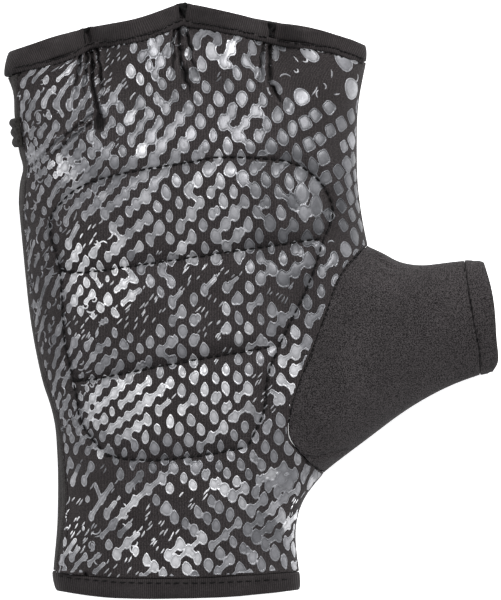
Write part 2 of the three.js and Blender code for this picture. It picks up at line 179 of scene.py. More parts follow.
def noise_texture(tree, vector, scale, detail=3.0, roughness=0.6):
    values = {"Scale": scale, "Detail": detail, "Roughness": roughness}
    texture = add_node(tree, "ShaderNodeTexNoise", values)
    tree.links.new(vector, texture.inputs["Vector"])
    return texture.outputs["Fac"]


def wave_texture(tree, vector, pitch, direction="X", distortion=0.0, detail_scale=1.0):
    values = {
        "Scale": math.tau / 20 / pitch,
        "Distortion": distortion,
        "Detail": 1.0,
        "Detail Scale": detail_scale,
    }
    wave = add_node(tree, "ShaderNodeTexWave", values, bands_direction=direction)
    tree.links.new(vector, wave.inputs["Vector"])
    return wave.outputs["Fac"]


def mixed(tree, kind, a, b, factor=1.0):
    """Blends two colours or greys of the tree."""
    mix = add_node(tree, "ShaderNodeMix", data_type="RGBA", blend_type=kind)
    mix.inputs[0].default_value = factor
    tree.links.new(a, mix.inputs[6])
    tree.links.new(b, mix.inputs[7])
    return mix.outputs[2]


# %% [markdown]
# The palm is a smooth stretch knit. Its fine columns of loops, the wales, run up the hand a
# little under half a millimetre apart, and they follow the cloth over the padding. The piece
# carries its own unrolled place in an attribute, so the wales bend with the surface.

# %% Printed knit of the palm
wale_pitch = 0.44 * mm
course_pitch = 0.36 * mm
# Tones of the painted shade and highlight of the folds: darker inside a fold, along a quilt line and in a
# pocket, lighter on a fold's ridge.
painted_shade_and_highlight_tones = ((0.0, 0.08), (0.5, 1.0), (1.0, 1.9))


def palm_knit():
    material, tree, shader = new_material("palm_knit", 0.8, sheen=0.02, specular=0.1)
    cloth = attribute(tree, "unrolled", "Vector")
    wales = wave_texture(tree, cloth, wale_pitch, "X", 0.8, 3.0)
    courses = wave_texture(tree, cloth, course_pitch, "Y")
    fuzz = noise_texture(tree, cloth, 2600.0)
    patch = noise_texture(tree, cloth, 70.0, 3.0)
    loops = mixed(tree, "MULTIPLY", wales, courses, 0.35)
    tint = tone_curve(tree, patch, (0.3, (0.0250, 0.0213, 0.0215)), (0.7, (0.0374, 0.0325, 0.0328)))
    yarn = tone_curve(tree, loops, (0.1, 0.45), (0.9, 1.3))
    grain = tone_curve(tree, fuzz, (0.38, 0.5), (0.62, 1.4))
    # Painted shade inside the folds, along the quilt lines and in the pockets, and a painted highlight on
    # the folds' ridges.
    painted_fold_light = tone_curve(tree, attribute(tree, "crease", "Fac"), *painted_shade_and_highlight_tones)
    toned = mixed(tree, "MULTIPLY", mixed(tree, "MULTIPLY", tint, yarn), painted_fold_light)
    tree.links.new(mixed(tree, "MULTIPLY", toned, grain), shader.inputs["Base Color"])
    rough = add_bump(tree, shader, fuzz, 0.05 * mm, 0.6)
    add_bump(tree, shader, loops, 0.10 * mm, 0.9, rough)
    return material


# %% [markdown]
# The foil is a thin pewter film, pressed hot into the knit. The press leaves a fine raised lip round each
# spot and a faint groove just inside it, and the colour paints a highlight along the lip and shade in the
# groove. The mesh carries how far each point is from the spot's edge, and the painted reflection of its
# scale, lighter or darker by area with random tone on top, so both follow the shapes exactly.

# %% Foil of the print
def print_foil():
    material, tree, shader = new_material("print_foil", 0.41, metallic=0.55, specular=0.45)
    depth = attribute(tree, "depth", "Fac")
    # The foil's colour per scale: painted reflection, lighter or darker by area, with random tone on top.
    painted_reflection_and_tone = attribute(tree, "painted_reflection_and_tone", "Fac")
    place = object_place(tree)
    base = tone_curve(
        tree, painted_reflection_and_tone, (0.0, (0.045, 0.046, 0.050)), (0.45, (0.19, 0.19, 0.20)),
        (0.75, (0.38, 0.38, 0.39)), (1.0, (0.60, 0.60, 0.61)),
    )
    # Painted highlight along the pressed lip of each spot and painted shade in the groove just inside it.
    rim_highlight_and_groove_shade = tone_curve(
        tree, depth, (0.0, 1.45), (0.14, 1.45), (0.26, 0.88), (0.40, 0.76), (0.6, 0.98), (1.0, 1.12)
    )
    cloudy = tone_curve(tree, noise_texture(tree, place, 350.0, 4.0, 0.75), (0.35, 0.82), (0.65, 1.15))
    # The same painted shade and highlight of the folds, on the foil.
    painted_fold_light = tone_curve(tree, attribute(tree, "crease", "Fac"), *painted_shade_and_highlight_tones)
    shaded = mixed(tree, "MULTIPLY", mixed(tree, "MULTIPLY", base, rim_highlight_and_groove_shade), painted_fold_light)
    tree.links.new(mixed(tree, "MULTIPLY", shaded, cloudy), shader.inputs["Base Color"])
    weave = wave_texture(tree, attribute(tree, "unrolled", "Vector"), wale_pitch, "X")
    pressed = tone_curve(
        tree, depth, (0.0, 0.9), (0.1, 1.0), (0.42, 0.0), (0.65, 0.06), (1.0, 0.18)
    )
    through = add_bump(tree, shader, weave, 0.015 * mm, 0.5)
    puckered = add_bump(tree, shader, noise_texture(tree, place, 600.0), 0.08 * mm, 0.4, through)
    add_bump(tree, shader, pressed, 0.22 * mm, 1.0, puckered)
    return material


# %% [markdown]
# Back and thumb are a softer heather jersey: charcoal yarn with lighter fibres. Fine noise at the
# scale of the stitches mixes the two, and a slower noise keeps large areas from looking even.

# %% Heather jersey
jersey_row_pitch = 0.42 * mm
jersey_wale_pitch = 0.46 * mm


def jersey(name, dark, light, sheen):
    material, tree, shader = new_material(name, 0.9, sheen=sheen, specular=0.08)
    place = object_place(tree)
    yarn = noise_texture(tree, place, 3500.0, 2.0, 0.7)
    patch = noise_texture(tree, place, 60.0, 3.0)
    rows = wave_texture(tree, place, jersey_row_pitch, "Y", 1.5, 5.0)
    wales = wave_texture(tree, place, jersey_wale_pitch, "X", 2.0, 5.0)
    ground = tone_curve(tree, yarn, (0.43, dark), (0.57, light))
    shade = tone_curve(tree, patch, (0.35, 0.88), (0.65, 1.12))
    ribs = tone_curve(tree, mixed(tree, "MIX", rows, wales, 0.5), (0.2, 0.8), (0.8, 1.15))
    toned = mixed(tree, "MULTIPLY", ground, shade)
    tree.links.new(mixed(tree, "MULTIPLY", toned, ribs), shader.inputs["Base Color"])
    rough = add_bump(tree, shader, yarn, 0.12 * mm, 0.6)
    add_bump(tree, shader, rows, 0.05 * mm, 0.4, rough)
    return material


# %% [markdown]
# The binding is a woven tape with fine ribs across it. Its ribs count along the tape, so the
# piece carries how far along the ring each point lies.

# %% Ribbed tape
rib_pitch = 0.57 * mm


def ribbed_tape():
    material, tree, shader = new_material("ribbed_tape", 0.8, sheen=0.02, specular=0.1)
    run = attribute(tree, "tape_run", "Vector")
    ribs = wave_texture(tree, run, rib_pitch, "X", 0.5, 2.0)
    fuzz = noise_texture(tree, object_place(tree), 2200.0)
    patch = noise_texture(tree, object_place(tree), 90.0)
    base = tone_curve(tree, patch, (0.35, (0.0165, 0.0140, 0.0142)), (0.65, (0.0255, 0.0220, 0.0222)))
    cords = tone_curve(tree, ribs, (0.15, 0.6), (0.8, 1.2))
    grain = tone_curve(tree, fuzz, (0.35, 0.75), (0.65, 1.22))
    toned = mixed(tree, "MULTIPLY", base, cords)
    tree.links.new(mixed(tree, "MULTIPLY", toned, grain), shader.inputs["Base Color"])
    rough = add_bump(tree, shader, fuzz, 0.05 * mm, 0.6)
    add_bump(tree, shader, ribs, 0.10 * mm, 0.8, rough)
    return material


# %% [markdown]
# Thread is twisted polyester with a dull shine, and the edge tab is a dense black rubbery weave.

# %% Thread and tab
def sewing_thread():
    material, tree, shader = new_material("black_thread", 0.7, specular=0.08)
    twist = noise_texture(tree, object_place(tree), 1800.0, 2.0)
    colour = tone_curve(tree, twist, (0.35, (0.0015, 0.0015, 0.0015)), (0.65, (0.0075, 0.0070, 0.0070)))
    tree.links.new(colour, shader.inputs["Base Color"])
    add_bump(tree, shader, twist, 0.08 * mm, 0.8)
    return material


def tab_weave():
    material, tree, shader = new_material("tab_weave", 0.8, specular=0.1)
    grain = noise_texture(tree, object_place(tree), 1400.0, 2.0)
    colour = tone_curve(tree, grain, (0.35, (0.007, 0.0065, 0.006)), (0.65, (0.026, 0.024, 0.022)))
    tree.links.new(colour, shader.inputs["Base Color"])
    add_bump(tree, shader, grain, 0.25 * mm, 0.9)
    return material


# %% [markdown]
# Each finish is made once and shared by the pieces that wear it. The thumb's jersey is the same
# kind of knit as the back's, with lighter fibres in it.

# %% The glove's materials
knit = palm_knit()
foil = print_foil()
back_cloth = jersey("back_jersey", (0.010, 0.0090, 0.0087), (0.042, 0.0388, 0.0375), 0.03)
thumb_cloth = jersey("thumb_jersey", (0.0062, 0.0054, 0.0055), (0.0505, 0.0453, 0.0460), 0.03)
tape = ribbed_tape()
thread = sewing_thread()
tab_skin = tab_weave()
for finish in (knit, foil, back_cloth, thumb_cloth, tape, thread, tab_skin):
    print("material:", finish.name)

# %% [markdown]
# Every cloth wall starts as a merged copy of its measured solid. Pairs of triangles become quads
# again, the rims are creased so that they stay neat, and a Catmull-Clark subdivision turns the
# facets into a smooth cloth. A cloth simulation would need coarse cells here and lose the thin
# walls and the quilting. The modifier is applied, so that the next steps can move points.

# %% Cloth from a measured wall
weld_distance = 0.01 * mm
rim_angle = math.radians(52)


def cloth_copy(node, levels=2, crease=0.75):
    bm = bmesh.new()
    bm.from_mesh(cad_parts[node].data)
    bmesh.ops.remove_doubles(bm, verts=bm.verts, dist=weld_distance)
    bmesh.ops.join_triangles(
        bm,
        faces=bm.faces,
        angle_face_threshold=math.radians(60),
        angle_shape_threshold=math.radians(80),
        topology_influence=1.5,
    )
    rim = bm.edges.layers.float.new("crease_edge")
    for edge in bm.edges:
        if edge.calc_face_angle(0.0) > rim_angle:
            edge[rim] = crease
    rough = bpy.data.meshes.new(node + "_rough")
    bm.to_mesh(rough)
    bm.free()
    helper = bpy.data.objects.new(node + "_rough", rough)
    bpy.context.scene.collection.objects.link(helper)
    smooth = helper.modifiers.new("smooth", "SUBSURF")
    smooth.levels = levels
    smooth.render_levels = levels
    bpy.context.view_layer.update()
    evaluated = helper.evaluated_get(bpy.context.evaluated_depsgraph_get())
    mesh = bpy.data.meshes.new_from_object(evaluated)
    bpy.data.objects.remove(helper)
    bpy.data.meshes.remove(rough)
    return mesh


# %% [markdown]
# Blender hands over the numbers of a mesh in bulk, which is far quicker than point by point.
# These helpers read and write them as arrays, and split chosen faces for fine relief.

# %% Numbers of a mesh
def numbers(collection, key):
    """One vector of every point or face, as an array of three columns."""
    flat = np.empty(len(collection) * 3, np.float32)
    collection.foreach_get(key, flat)
    return flat.reshape(-1, 3).astype(float)


def set_places(mesh, points):
    mesh.vertices.foreach_set("co", points.astype(np.float32).ravel())
    mesh.update()


def set_values(mesh, name, values):
    kind = "FLOAT" if values.ndim == 1 else "FLOAT_VECTOR"
    layer = mesh.attributes.new(name, kind, "POINT")
    key = "value" if values.ndim == 1 else "vector"
    layer.data.foreach_set(key, values.astype(np.float32).ravel())


def refine(mesh, chosen):
    """Splits each chosen face in four, so that fine relief has points to move."""
    bm = bmesh.new()
    bm.from_mesh(mesh)
    edges = {edge for face, yes in zip(bm.faces, chosen) if yes for edge in face.edges}
    bmesh.ops.subdivide_edges(bm, edges=list(edges), cuts=1, use_grid_fill=True, smooth=0.0)
    bm.to_mesh(mesh)
    bm.free()


# %% [markdown]
# Many steps ask what lies under a place in plan. A search tree over the faces answers that with a
# ray which falls from above the glove.

# %% Rays from above
above = 60 * mm
down = Vector((0.0, 0.0, -1.0))


def surface_of(*meshes):
    """One search tree over the faces of some meshes, for rays and nearest points."""
    vertices, faces = [], []
    for mesh in meshes:
        start = len(vertices)
        vertices.extend(v.co.copy() for v in mesh.vertices)
        faces.extend([start + i for i in p.vertices] for p in mesh.polygons)
    return BVHTree.FromPolygons(vertices, faces)


def surface_below(skin, x, y):
    """The surface under a place in plan and its normal, or None twice."""
    return skin.ray_cast(Vector((x, y, above)), down)[:2]


# %% [markdown]
# A finished mesh becomes a piece of the glove: smooth shaded, with one material, riding on the part's
# only body, and with the measured solids that it replaces hidden.

# %% Pieces of the glove
def make_piece(name, mesh, material, slot, *nodes):
    """A finished mesh as a piece of the glove that stands for its measured solids."""
    mesh.name = name
    mesh.materials.clear()
    mesh.materials.append(material)
    mesh.polygons.foreach_set("use_smooth", [True] * len(mesh.polygons))
    piece = bpy.data.objects.new(name, mesh)
    bpy.context.scene.collection.objects.link(piece)
    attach(piece, "root")
    if nodes:
        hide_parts(*nodes)
    print(f"{name}: {sum(len(p.vertices) - 2 for p in mesh.polygons)} triangles")
    return piece


# %% [markdown]
# Sewn lines and folds are drawn in plan, as a few points in millimetres, with a smooth curve
# through them. For every point of the cloth one helper gives its distance to the line, signed by
# the side it lies on, and how far along the line it is.

# %% Lines on the cloth
def smooth_line(points, step=1.2):
    """A smooth curve through hand-set points, resampled at an even step, in metres."""
    knots = np.array(points, float)
    padded = np.vstack([2 * knots[0] - knots[1], knots, 2 * knots[-1] - knots[-2]])
    t = np.linspace(0, 1, 12, endpoint=False)[:, None]
    spans = []
    for a, b, c, d in zip(padded, padded[1:], padded[2:], padded[3:]):
        bend = (2 * a - 5 * b + 4 * c - d) * t**2 + (3 * b - a - 3 * c + d) * t**3
        spans.append(0.5 * (2 * b + (c - a) * t + bend))
    fine = np.vstack([*spans, knots[-1:]])
    run = np.concatenate([[0], np.cumsum(np.linalg.norm(np.diff(fine, axis=0), axis=1))])
    even = np.linspace(0, run[-1], max(2, round(run[-1] / step)))
    return mm * np.column_stack([np.interp(even, run, fine[:, k]) for k in range(2)])


def line_length(line):
    return float(np.linalg.norm(np.diff(line, axis=0), axis=1).sum())


def measure_to(line, plan):
    """Signed distance in plan to a line, and the run along it, for every point."""
    gap = np.full(len(plan), np.inf)
    side = np.ones(len(plan))
    run = np.zeros(len(plan))
    start = 0.0
    for a, b in zip(line, line[1:]):
        d = b - a
        length = float(np.linalg.norm(d))
        offset = plan - a
        t = np.clip(offset @ d / length**2, 0, 1)
        distance = np.linalg.norm(offset - t[:, None] * d, axis=1)
        closer = distance < gap
        gap[closer] = distance[closer]
        run[closer] = start + t[closer] * length
        side[closer] = np.sign(d[0] * offset[closer, 1] - d[1] * offset[closer, 0])
        start += length
    return gap * side, run


# %% [markdown]
# The lines were read off the photograph, in millimetres from the glove's middle. They are the stitched
# outline of the three cushions, each with its own pull, the folds that run down from the threads between
# the fingers, the fine pleats beside them, and two creases towards the side.

# %% Where the palm is sewn and folded
quilt_pull = {"head": 1.05, "upper": 1.1, "lower": 1.1, "foot": 0.65, "inner": 0.8, "outer": 0.55}
quilt_lines = {
    "head": smooth_line([(-50.8, 29.4), (-44.9, 32.8), (-34.0, 35.6), (-18.9, 38.1), (-8.0, 39.8),
                         (8.5, 38.9), (16.7, 35.3), (21.7, 29.1), (22.5, 23.0), (20.3, 17.4)]),
    "upper": smooth_line([(-53.3, 8.4), (-48.0, 7.6), (-28.4, 10.1), (-6.0, 13.4), (19.7, 17.2)]),
    "lower": smooth_line([(-48.9, -22.6), (-41.6, -21.6), (-20.0, -17.4), (7.7, -12.6)]),
    "foot": smooth_line([(-40.7, -43.1), (-31.2, -44.5), (-17.5, -43.7), (-1.5, -41.0)]),
    "inner": smooth_line([(20.3, 17.4), (16.1, 4.8), (8.8, -10.4), (4.6, -21.0), (3.5, -30.8),
                          (-1.0, -40.9)]),
    "outer": smooth_line([(-50.8, 29.4), (-55.3, 24.1), (-55.9, 18.2), (-53.3, 8.4), (-51.9, -11.8),
                          (-49.4, -22.4), (-47.2, -34.2), (-40.7, -43.1)]),
}
finger_folds = {
    "ring_fold": smooth_line([(-45.6, 73.0), (-44.2, 66.0), (-44.6, 60.0), (-43.0, 54.0), (-42.0, 46.5)]),
    "middle_fold": smooth_line([(-19.8, 81.0), (-20.2, 70.0), (-18.8, 63.5), (-16.8, 56.0)]),
    "index_fold": smooth_line([(5.7, 77.0), (4.9, 64.0), (5.6, 59.6), (10.0, 53.0)]),
}
fine_pleats = {
    "pleat_1": smooth_line([(-46.0, 73.0), (-46.2, 64.0), (-47.0, 56.0)]),
    "pleat_2": smooth_line([(-47.6, 72.0), (-48.4, 63.0), (-50.0, 55.0)]),
    "pleat_3": smooth_line([(-21.4, 76.0), (-22.0, 68.0), (-22.2, 60.0)]),
    "pleat_4": smooth_line([(3.6, 72.0), (2.4, 65.0), (2.4, 58.0)]),
    "pleat_5": smooth_line([(-43.2, 71.0), (-42.0, 63.0), (-41.4, 55.0)]),
    "pleat_6": smooth_line([(-18.0, 75.0), (-16.8, 68.0), (-15.6, 62.0)]),
}
side_creases = {
    "long_crease": smooth_line([(-44.0, 51.8), (-50.8, 46.5), (-56.4, 42.0), (-63.5, 34.5)]),
    "low_crease": smooth_line([(-44.5, 49.4), (-51.0, 44.4), (-57.0, 39.0)]),
}
for name, line in quilt_lines.items():
    print(f"quilt line {name}: {line_length(line) / mm:.0f} mm")

# %% [markdown]
# The palm cushions are quilted through: each line of thread pulls the knit down into a narrow
# valley with wide slopes, and beside it the cloth puckers in step with the stitches.

# %% Quilting
stitch_pitch = 2.3 * mm
valley_depth, valley_width = 0.42 * mm, 0.55 * mm
slope_depth, slope_width = 0.95 * mm, 2.3 * mm
pucker_height, pucker_offset, pucker_width = 0.20 * mm, 1.4 * mm, 0.9 * mm


def soft_noise(points, scale, seed):
    shift = Vector((seed * 7.1, seed * 3.7, seed * 1.9))
    return np.array([noise.noise(Vector(p) / scale + shift) for p in points])


def bell(distance, width):
    return np.exp(-((distance / width) ** 2))


def quilt_relief(plan):
    deepest = np.zeros(len(plan))
    for name, line in quilt_lines.items():
        gap, run = measure_to(line, plan)
        holes = 0.5 + 0.5 * np.cos(math.tau * run / stitch_pitch)
        pull = quilt_pull[name]
        valley = valley_depth * bell(gap, valley_width)
        slope = slope_depth * bell(gap, slope_width)
        pucker = pucker_height * (holes - 0.4) * bell(np.abs(gap) - pucker_offset, pucker_width)
        deepest = np.maximum(deepest, pull * (valley + slope)) + pull * pucker
    return deepest


# %% [markdown]
# A fold is a groove with a soft lip on either side, deepest where its line starts and gone at the
# other end. Cloth never folds along a ruler, so a slow noise lets each line wander. Where the
# threads gather the cloth most, small pockets go deeper still.

# %% Folds
fold_sway, side_sway, sway_length = 0.75 * mm, 0.2 * mm, 2.4 * mm
fold_kinds = [
    # lines, depth, width, lip height, sway, strength of the painted shade and highlight
    (finger_folds, 2.3 * mm, 0.50 * mm, 0.6 * mm, fold_sway, 1.0),
    (fine_pleats, 1.3 * mm, 0.42 * mm, 0.7 * mm, fold_sway, 0.7),
    (side_creases, 0.9 * mm, 0.42 * mm, 0.5 * mm, side_sway, 0.8),
]
pockets = [
    # x, y, half width, half length, depth, in millimetres
    (-42.4, 49.4, 1.3, 2.1, 2.6), (-18.5, 63.0, 0.9, 1.9, 2.2), (6.4, 58.6, 0.9, 1.8, 1.5),
    (-45.4, 68.5, 1.6, 3.0, 0.8), (-20.6, 74.5, 1.3, 2.6, 0.8), (4.6, 69.5, 1.3, 2.6, 0.7),
]


def folds_at(plan, lines, sway):
    """For each fold: the distance to its wandering line, and how deep it still is there."""
    wander = sway * soft_noise(np.column_stack([plan, 0 * plan[:, 0]]), sway_length, 9)
    for line in lines.values():
        gap, run = measure_to(line, plan)
        total = line_length(line)
        fade = np.cos(np.clip(run / total, 0, 1) * math.pi / 2) ** 0.7
        yield gap + wander, np.where((run > 0) & (run < total), fade, 0.0)


def fold_relief(plan, lines, depth, width, lip_height, sway=fold_sway):
    drop = np.zeros(len(plan))
    for gap, fade in folds_at(plan, lines, sway):
        groove = depth * bell(gap, width)
        lip = lip_height * bell(np.abs(gap) - 2.2 * width, 1.2 * width)
        drop += fade * (groove - lip)
    return drop


def pocket_relief(plan):
    drop = np.zeros(len(plan))
    for x, y, rx, ry, depth in pockets:
        reach = ((plan[:, 0] / mm - x) / rx) ** 2 + ((plan[:, 1] / mm - y) / ry) ** 2
        drop += depth * mm * np.exp(-reach)
    return drop


# %% [markdown]
# Deep in a fold the colour carries painted shade, and a fold's ridge a painted highlight; the quilt lines
# and the gathered pockets get painted shade too. The folds are only half a millimetre wide, too fine for
# the lamps to shade fully, so the cloth carries this as a value of its own that the knit and the foil
# both read.

# %% Painted shade and highlight in the folds
ridge_offset, ridge_width = 0.9 * mm, 0.35 * mm
shadow_width = 0.36 * mm
quilt_shade_width = 0.5 * mm


def crease_shade(plan):
    """Half is plain cloth, less is painted shade in a fold, a quilt line or a pocket, more is a painted
    highlight on a fold's ridge.
    """
    shade = np.full(len(plan), 0.5)
    for lines, _, _, _, sway, painted_light_strength in fold_kinds:
        for gap, fade in folds_at(plan, lines, sway):
            ridge = bell(np.abs(gap) - ridge_offset, ridge_width)
            shade += painted_light_strength * fade * (0.25 * ridge - 0.5 * bell(gap, shadow_width))
    # Painted shade along each quilt line and, below, in the gathered pockets.
    for line in quilt_lines.values():
        shade -= 0.15 * bell(measure_to(line, plan)[0], quilt_shade_width)
    return np.clip(shade - 0.25 * pocket_relief(plan) / mm, 0.0, 1.0)


# %% [markdown]
# The relief is pressed in along the cloth's own normals, and into the outer face only, so that
# the inside stays smooth. Near the finger folds the cloth crumples, and two faint noises keep
# every stretch of it from looking ironed.

# %% Press the relief in
crumple_height, crumple_reach, crumple_size = 0.75 * mm, 3.2 * mm, 1.5 * mm
slow_height, slow_size = 0.22 * mm, 9 * mm
quick_height, quick_size = 0.10 * mm, 3.5 * mm


def facing_up(normals):
    """One where the cloth faces the sky, down to zero where it stands upright."""
    return np.clip((normals[:, 2] - 0.05) / 0.25, 0, 1)


def sculpt_palm(mesh):
    points = numbers(mesh.vertices, "co")
    normals = numbers(mesh.vertex_normals, "vector")
    plan = points[:, :2]
    drop = quilt_relief(plan)
    for lines, depth, width, lip_height, sway, _ in fold_kinds:
        drop += fold_relief(plan, lines, depth, width, lip_height, sway)
    drop += pocket_relief(plan)
    crumple = np.zeros(len(plan))
    for line in finger_folds.values():
        crumple = np.maximum(crumple, bell(measure_to(line, plan)[0], crumple_reach))
    drop += crumple_height * crumple * soft_noise(points * (1.0, 0.5, 1.0), crumple_size, 4)
    slow = slow_height * soft_noise(points, slow_size, 1)
    drop += slow + quick_height * soft_noise(points, quick_size, 2)
    set_places(mesh, points - normals * (drop * facing_up(normals))[:, None])


# %% [markdown]
# Fine relief needs fine faces, but only where it shows. The outer face of the palm is split once,
# and once more along the sewn lines and folds.

# %% Choose the faces to split
lowest_outer_face = 6 * mm


def near_lines(plan, reach, *groups):
    close = np.zeros(len(plan), bool)
    for group in groups:
        for line in group.values():
            close |= np.abs(measure_to(line, plan)[0]) < reach
    return close


def outer_faces(mesh, lowest=lowest_outer_face):
    normals = numbers(mesh.polygons, "normal")
    centres = numbers(mesh.polygons, "center")
    return (normals[:, 2] > 0.12) & (centres[:, 2] > lowest), centres[:, :2]


# %% [markdown]
# On the little finger's side the palm's edge lies over the strip of the back. The measured walls
# leave the two side by side, so the palm's edge is slid over it by up to two and a half
# millimetres, and rises and falls with the surface under it. How far it goes at which height is
# listed in millimetres.

# %% The palm's edge over the back
edge_shift = [(-78, 2.5), (-73, 2.2), (-66, 1.4), (-59, 0.7), (-48, 0.4), (-36, 0.5), (-20, 0.9),
              (3, 1.2), (25, 0.8), (34, 0.1), (37, -0.4), (40, 0.1), (46, 0.5), (54, 0.8), (60, 0.7),
              (65, 0.0)]
edge_reach = 9 * mm
edge_lift = 0.12 * mm
steepest_drop, steepest_rise = 2.5 * mm, 0.5 * mm


def left_edge(mesh):
    """The palm's edge on the little finger's side: some heights y and the edge's x there."""
    points = numbers(mesh.vertices, "co")
    rows = np.arange(points[:, 1].min() + 1.5 * mm, 66.0 * mm, 2.0 * mm)
    edge = [points[np.abs(points[:, 1] - y) < 3 * mm, 0].min() for y in rows]
    return rows, np.convolve(np.pad(edge, 1, mode="edge"), (0.25, 0.5, 0.25), "valid")


def spread_edge(mesh, skin):
    """Slides the palm's left edge outwards over the strip of the back."""
    points = numbers(mesh.vertices, "co")
    inward = points[:, 0] - np.interp(points[:, 1], *left_edge(mesh))
    widest = mm * np.interp(points[:, 1] / mm, *zip(*edge_shift))
    share = np.clip(1 - inward / edge_reach, 0, 1)
    for k in np.flatnonzero((share > 0) & (widest != 0)):
        x, y = points[k, :2]
        shift = widest[k] * share[k]
        here = surface_below(skin, x, y)[0]
        there = surface_below(skin, x - shift, y)[0]
        points[k, 0] -= shift
        if here is not None and there is not None:
            drop = min(max(there.z - here.z, -steepest_drop), steepest_rise)
            points[k, 2] += drop + edge_lift * share[k]
    set_places(mesh, points)


# %% [markdown]
# The palm is made in this order: first its edge, while the faces are still large, then the finer
# faces, and last the relief. A copy without relief is kept for the next step, because the quilting
# would make every row of cloth a little longer.

# %% Shape the palm
palm_mesh = cloth_copy("palm_panel")
back_mesh = cloth_copy("back_panel")
spread_edge(palm_mesh, surface_of(palm_mesh, back_mesh))
plain_palm = palm_mesh.copy()
outside, centres = outer_faces(palm_mesh)
refine(palm_mesh, outside)
outside, centres = outer_faces(palm_mesh)
refine(palm_mesh, outside & (
    near_lines(centres, 1.5 * mm, quilt_lines, side_creases)
    | near_lines(centres, 2.4 * mm, finger_folds, fine_pleats)
))
sculpt_palm(palm_mesh)
print("points of the palm:", len(palm_mesh.vertices))

# %% [markdown]
# The print follows the cloth, not the picture: on the steep sides it is foreshortened. A survey
# of heights gives the length of cloth along each row, so a place on the unrolled cloth can be
# found on the glove, and a place on the glove on the cloth.

# %% Survey the palm
spine_x = -16 * mm
lowest_surveyed = 4 * mm
survey_x = np.arange(-70.0, 35.5, 0.5) * mm
survey_y = np.arange(-80.0, 80.5, 1.0) * mm


def running_mean(values):
    """Each value or row averaged with the two on either side of it."""
    padded = np.concatenate([[values[0]] * 2, values, [values[-1]] * 2])
    return sum(padded[k : k + len(values)] for k in range(5)) / 5


def survey_heights(skin):
    heights = np.full((len(survey_y), len(survey_x)), np.nan)
    for j, y in enumerate(survey_y):
        for i, x in enumerate(survey_x):
            hit = surface_below(skin, x, y)[0]
            if hit is not None and hit.z > lowest_surveyed:
                heights[j, i] = hit.z
    return heights


def cloth_runs(heights):
    """Length of cloth from the spine to each surveyed x, row by row."""
    runs = np.empty_like(heights)
    step = survey_x[1] - survey_x[0]
    spine = int(np.argmin(np.abs(survey_x - spine_x)))
    for j, row in enumerate(heights):
        known = np.flatnonzero(~np.isnan(row))
        if len(known) < 2:
            runs[j] = survey_x - spine_x
            continue
        filled = np.interp(np.arange(len(row)), known, row[known])
        run = np.concatenate([[0], np.cumsum(np.hypot(step, np.diff(filled)))])
        runs[j] = run - run[spine]
    return running_mean(runs)


runs = cloth_runs(survey_heights(surface_of(plain_palm)))
middle_row = runs[len(runs) // 2]
print("cloth across the middle:", round((middle_row[-1] - middle_row[0]) / mm, 1), "mm")

# %% [markdown]
# Two helpers look a place up in the survey, one from the cloth to the glove and one back. Between
# two surveyed rows they blend.

# %% From the cloth to the glove and back
def row_of(y):
    place = np.clip((y - survey_y[0]) / (survey_y[1] - survey_y[0]), 0, len(survey_y) - 1.001)
    return place.astype(int), place - place.astype(int)


def plan_of(u, v):
    """The x of each place (u, v) on the unrolled cloth."""
    x = np.empty_like(u)
    rows, share = row_of(v)
    for j in np.unique(rows):
        here = rows == j
        low = np.interp(u[here], runs[j], survey_x)
        high = np.interp(u[here], runs[j + 1], survey_x)
        x[here] = low + (high - low) * share[here]
    return x


def unrolled_of(x, y):
    """The u of each place (x, y) of the glove."""
    u = np.empty_like(x)
    rows, share = row_of(y)
    for j in np.unique(rows):
        here = rows == j
        low = np.interp(x[here], survey_x, runs[j])
        high = np.interp(x[here], survey_x, runs[j + 1])
        u[here] = low + (high - low) * share[here]
    return u


# %% [markdown]
# The finished palm carries two values for its material: the unrolled place of every point, and the shade
# of the folds. Three cushions of foam sit under it.

# %% Palm panel
palm_points = numbers(palm_mesh.vertices, "co")
palm_u = unrolled_of(palm_points[:, 0], palm_points[:, 1])
set_values(palm_mesh, "unrolled", np.column_stack([palm_u, palm_points[:, 1], 0 * palm_u]))
set_values(palm_mesh, "crease", crease_shade(palm_points[:, :2]))
palm = make_piece("palm", palm_mesh, knit, "printed_palm", "palm_panel")
palm_skin = surface_of(palm_mesh)

# %% [markdown]
# The print is a reptile skin: egg-shaped scales in a slanted lattice, which run together into wavy chains
# in some places, swell into blobs or squares in others, and break up into thin slivers where the skin is
# bare. Soft ovals say which is where. Each was charted in millimetres: its middle, its half width and
# half height, and its strength where that isn't one.

# %% Where the print changes
bare_zones = [(-43.3, 19.6, 4.5, 4.5), (-30.4, -3.6, 5.5, 7), (-10.8, -3.9, 4, 7),
              (-13, 7.2, 9.5, 3.4), (-27.5, -63.5, 7, 6.5), (-39, 64, 5.5, 8.5), (8.8, 0.8, 4.5, 4.2),
              (18.5, 62, 12.5, 9), (25, 15, 4, 3.6), (-35, -74, 6, 4), (3, -27, 3, 6),
              (-17, -55, 5, 3.5), (13, -59, 4, 4), (-46, -8, 4, 4), (-48, -63, 4, 8)]
chain_zones = [(-52, 48, 13, 26), (-40, 34, 16, 12), (-56, -4, 9, 34), (-42, 22, 14, 10),
               (-38, -30, 10, 8), (-49, -30, 9, 16), (-52, -62, 7, 14), (-30, 44, 12, 7),
               (-38, -24, 8, 5), (12, -12, 6, 10), (15, -63, 6, 10), (-40, -60, 13, 14),
               (4, -60, 6, 12)]
blob_zones = [(-11, 70, 7, 5), (-6.5, 47, 4.5, 8), (0, 22, 8, 6), (10, 8, 6, 6), (14, 27, 5, 4),
              (-40, -58, 5, 4), (-36, 2, 5, 7), (7, -2, 4, 7), (0, 34, 12, 4)]
square_zones = [(22, 46, 9, 10), (26, 30, 8, 13)]
hook_zones = [(20, 60, 16, 14), (-54, -25, 6, 14), (28, 15, 6, 8), (-38, 19, 5, 6)]
